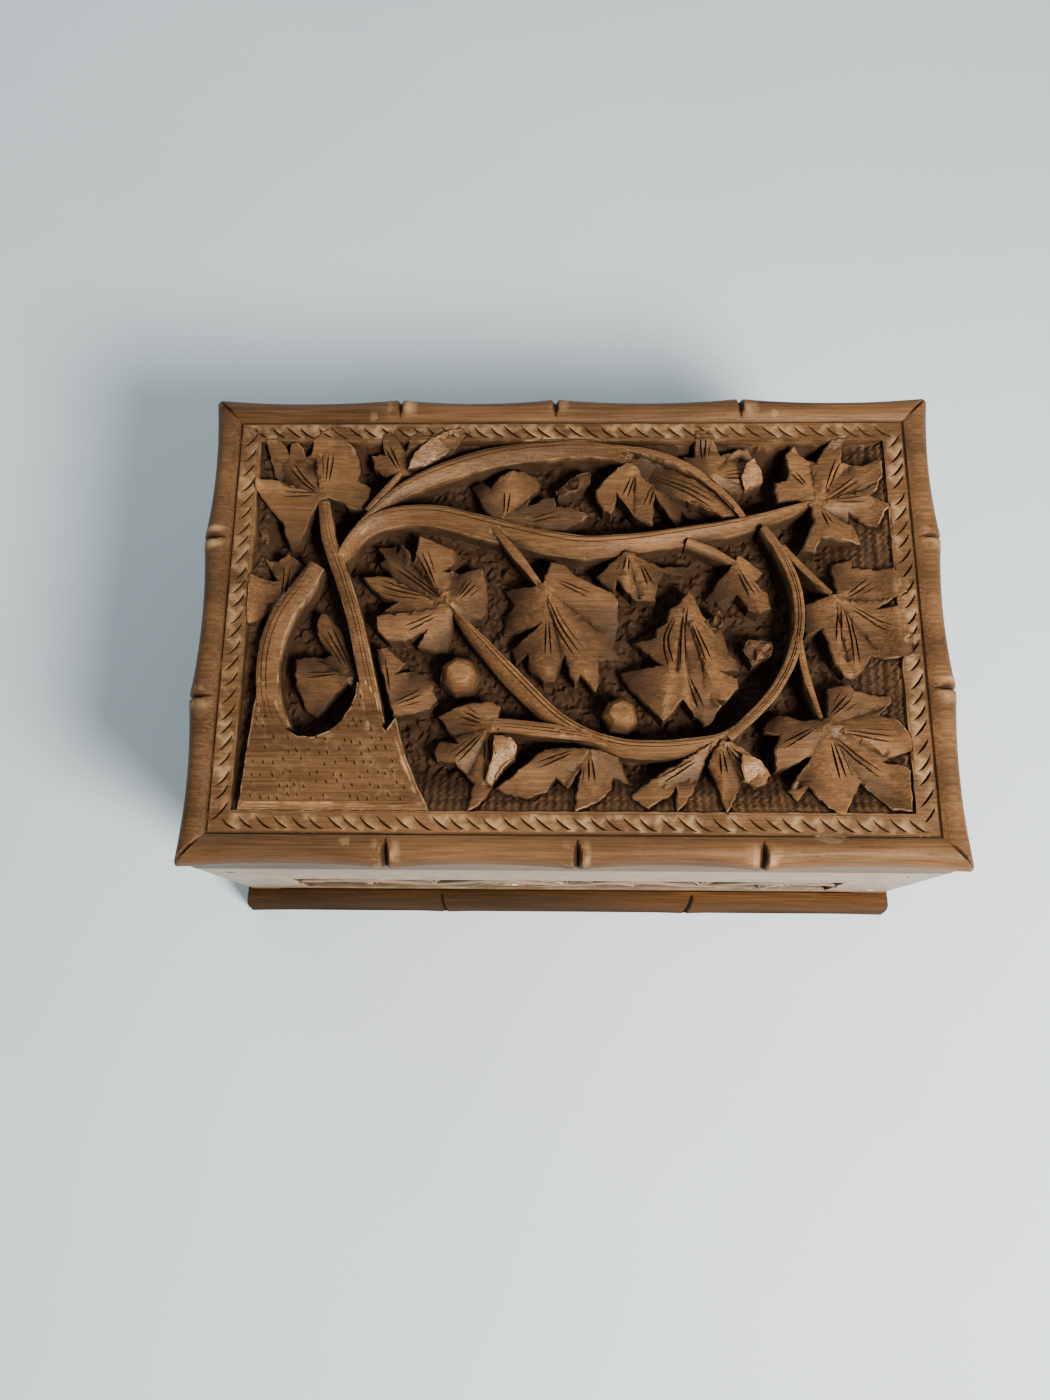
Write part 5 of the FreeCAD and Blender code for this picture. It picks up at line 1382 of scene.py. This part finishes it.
def plinth_strip(side, half, material):
    """Bowed plinth strip with mitred ends and bamboo nodes."""
    point_on = place_on(side)
    nodes = [-PLINTH_NODE_SHARE * half, PLINTH_NODE_SHARE * half]
    places = spaced(half, int(half / 2) * 2 + 1, nodes, PLINTH_CLEAR, PLINTH_OFFSETS)
    points = []
    tones = []
    for place in sorted(places):
        waist = PLINTH_WAIST * waist_at(place, [-half, *nodes, half])
        cut = PLINTH_CUT * max(0.0, 1 - min(abs(place - node) for node in nodes) / PLINTH_CUT_HALF)
        for out, up, share in PLINTH_ROWS:
            along = stretched(place, half - PLINTH_END, half, half + out)
            point = point_on(along, up, max(out - (waist + cut) * share, 0.0))
            points.append(point)
            tones.append((PLINTH_CUT_DIRT_AND_SHADE * cut * share, 0.0, painted_falloff_tone(point[0], *PLINTH_FALLOFF_TONE), 1.0))
    rows = len(PLINTH_ROWS)
    faces = ring_faces(0, len(places), rows)
    faces.append(list(range(rows)))
    faces.append(list(range(len(points) - rows, len(points))))
    make_piece("bowed_plinth_" + side, points, faces, material, "box", ["plinth_" + side], tones)


carved_wall("front", WALL_HALF[0], True, wall_x)
carved_wall("left", WALL_HALF[1] - LIP, False, wall_y)
carved_wall("right", WALL_HALF[1] - LIP, False, wall_y)
for side in ("front", "back"):
    plinth_strip(side, WALL_HALF[0], plinth_x)
for side in ("left", "right"):
    plinth_strip(side, WALL_HALF[1], plinth_y)

# CAD nodes that keep their shape
NODE_PAINT = {
    "bottom_board": board, "back_wall": back_x,
    "corner_pins": steel, "bottom_nails": steel, "plinth_pins": steel,
}
REPLACED = ("lid_panel", "lid_plugs", "front_wall", "left_wall", "right_wall", "plinth_front", "plinth_back",
            "plinth_left", "plinth_right")
for name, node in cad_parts.items():
    if name in REPLACED:
        continue
    node.data.materials.clear()
    node.data.materials.append(NODE_PAINT.get(name, brass))

# Floor, light and camera, in metres
FLOOR_HALF = 2
AIM = Vector((0, 0, 0.06))
PITCH = math.radians(74.573)
YAW = math.radians(-4.799)
ROLL = math.radians(-4.437)
CAMERA_PLACE = (-0.00432, -0.07184, 0.27043)

floor_mesh = bpy.data.meshes.new("floor")
floor_mesh.from_pydata([(FLOOR_HALF * x, FLOOR_HALF * y, 0) for x, y in CORNERS.tolist()], [], [(0, 1, 2, 3)])
floor = bpy.data.objects.new("floor", floor_mesh)
bpy.context.scene.collection.objects.link(floor)
paper = Paint("pale_paper")
paper_share = paper.ramp(paper.noise((9, 9, 9), 3), 0.3, 0.7)
paper.set(paper.shader, "Base Color", paper.mix(paper_share, (0.49, 0.575, 0.60, 1), (0.53, 0.61, 0.635, 1)))
paper.set(paper.shader, "Roughness", 0.85)
floor_mesh.materials.append(paper.material)

world = bpy.data.worlds.new("soft_sky")
bpy.context.scene.world = world
world.use_nodes = True
sky = world.node_tree.nodes["Background"]
sky.inputs["Color"].default_value = (0.86, 0.95, 1.0, 1)
sky.inputs["Strength"].default_value = 0.5


def area_light(name, place, size, power, colour):
    """Round light that faces the box."""
    data = bpy.data.lights.new(name, "AREA")
    data.shape = "DISK"
    data.size = size
    data.energy = power
    data.color = colour
    light = bpy.data.objects.new(name, data)
    light.location = place
    light.rotation_euler = (AIM - Vector(place)).to_track_quat("-Z", "Y").to_euler()
    bpy.context.scene.collection.objects.link(light)


area_light("window", (0.24, -0.25, 0.40), 0.16, 7.8, (1.0, 0.95, 0.88))
area_light("back_fill", (-0.30, 0.75, 0.50), 0.9, 4.0, (0.92, 0.97, 1.0))

forward = Vector((math.sin(YAW) * math.cos(PITCH), math.cos(YAW) * math.cos(PITCH), -math.sin(PITCH)))
right = Vector((math.cos(YAW), -math.sin(YAW), 0))
above = right.cross(forward)
turned_right = math.cos(ROLL) * right + math.sin(ROLL) * above
turned_up = math.cos(ROLL) * above - math.sin(ROLL) * right
camera_data = bpy.data.cameras.new("camera")
camera_data.sensor_fit = "VERTICAL"
camera_data.sensor_height = 36
camera_data.lens = 27
camera = bpy.data.objects.new("camera", camera_data)
turn = Matrix((turned_right, turned_up, -forward)).transposed().to_4x4()
camera.matrix_world = Matrix.Translation(CAMERA_PLACE) @ turn
bpy.context.scene.collection.objects.link(camera)
bpy.context.scene.camera = camera
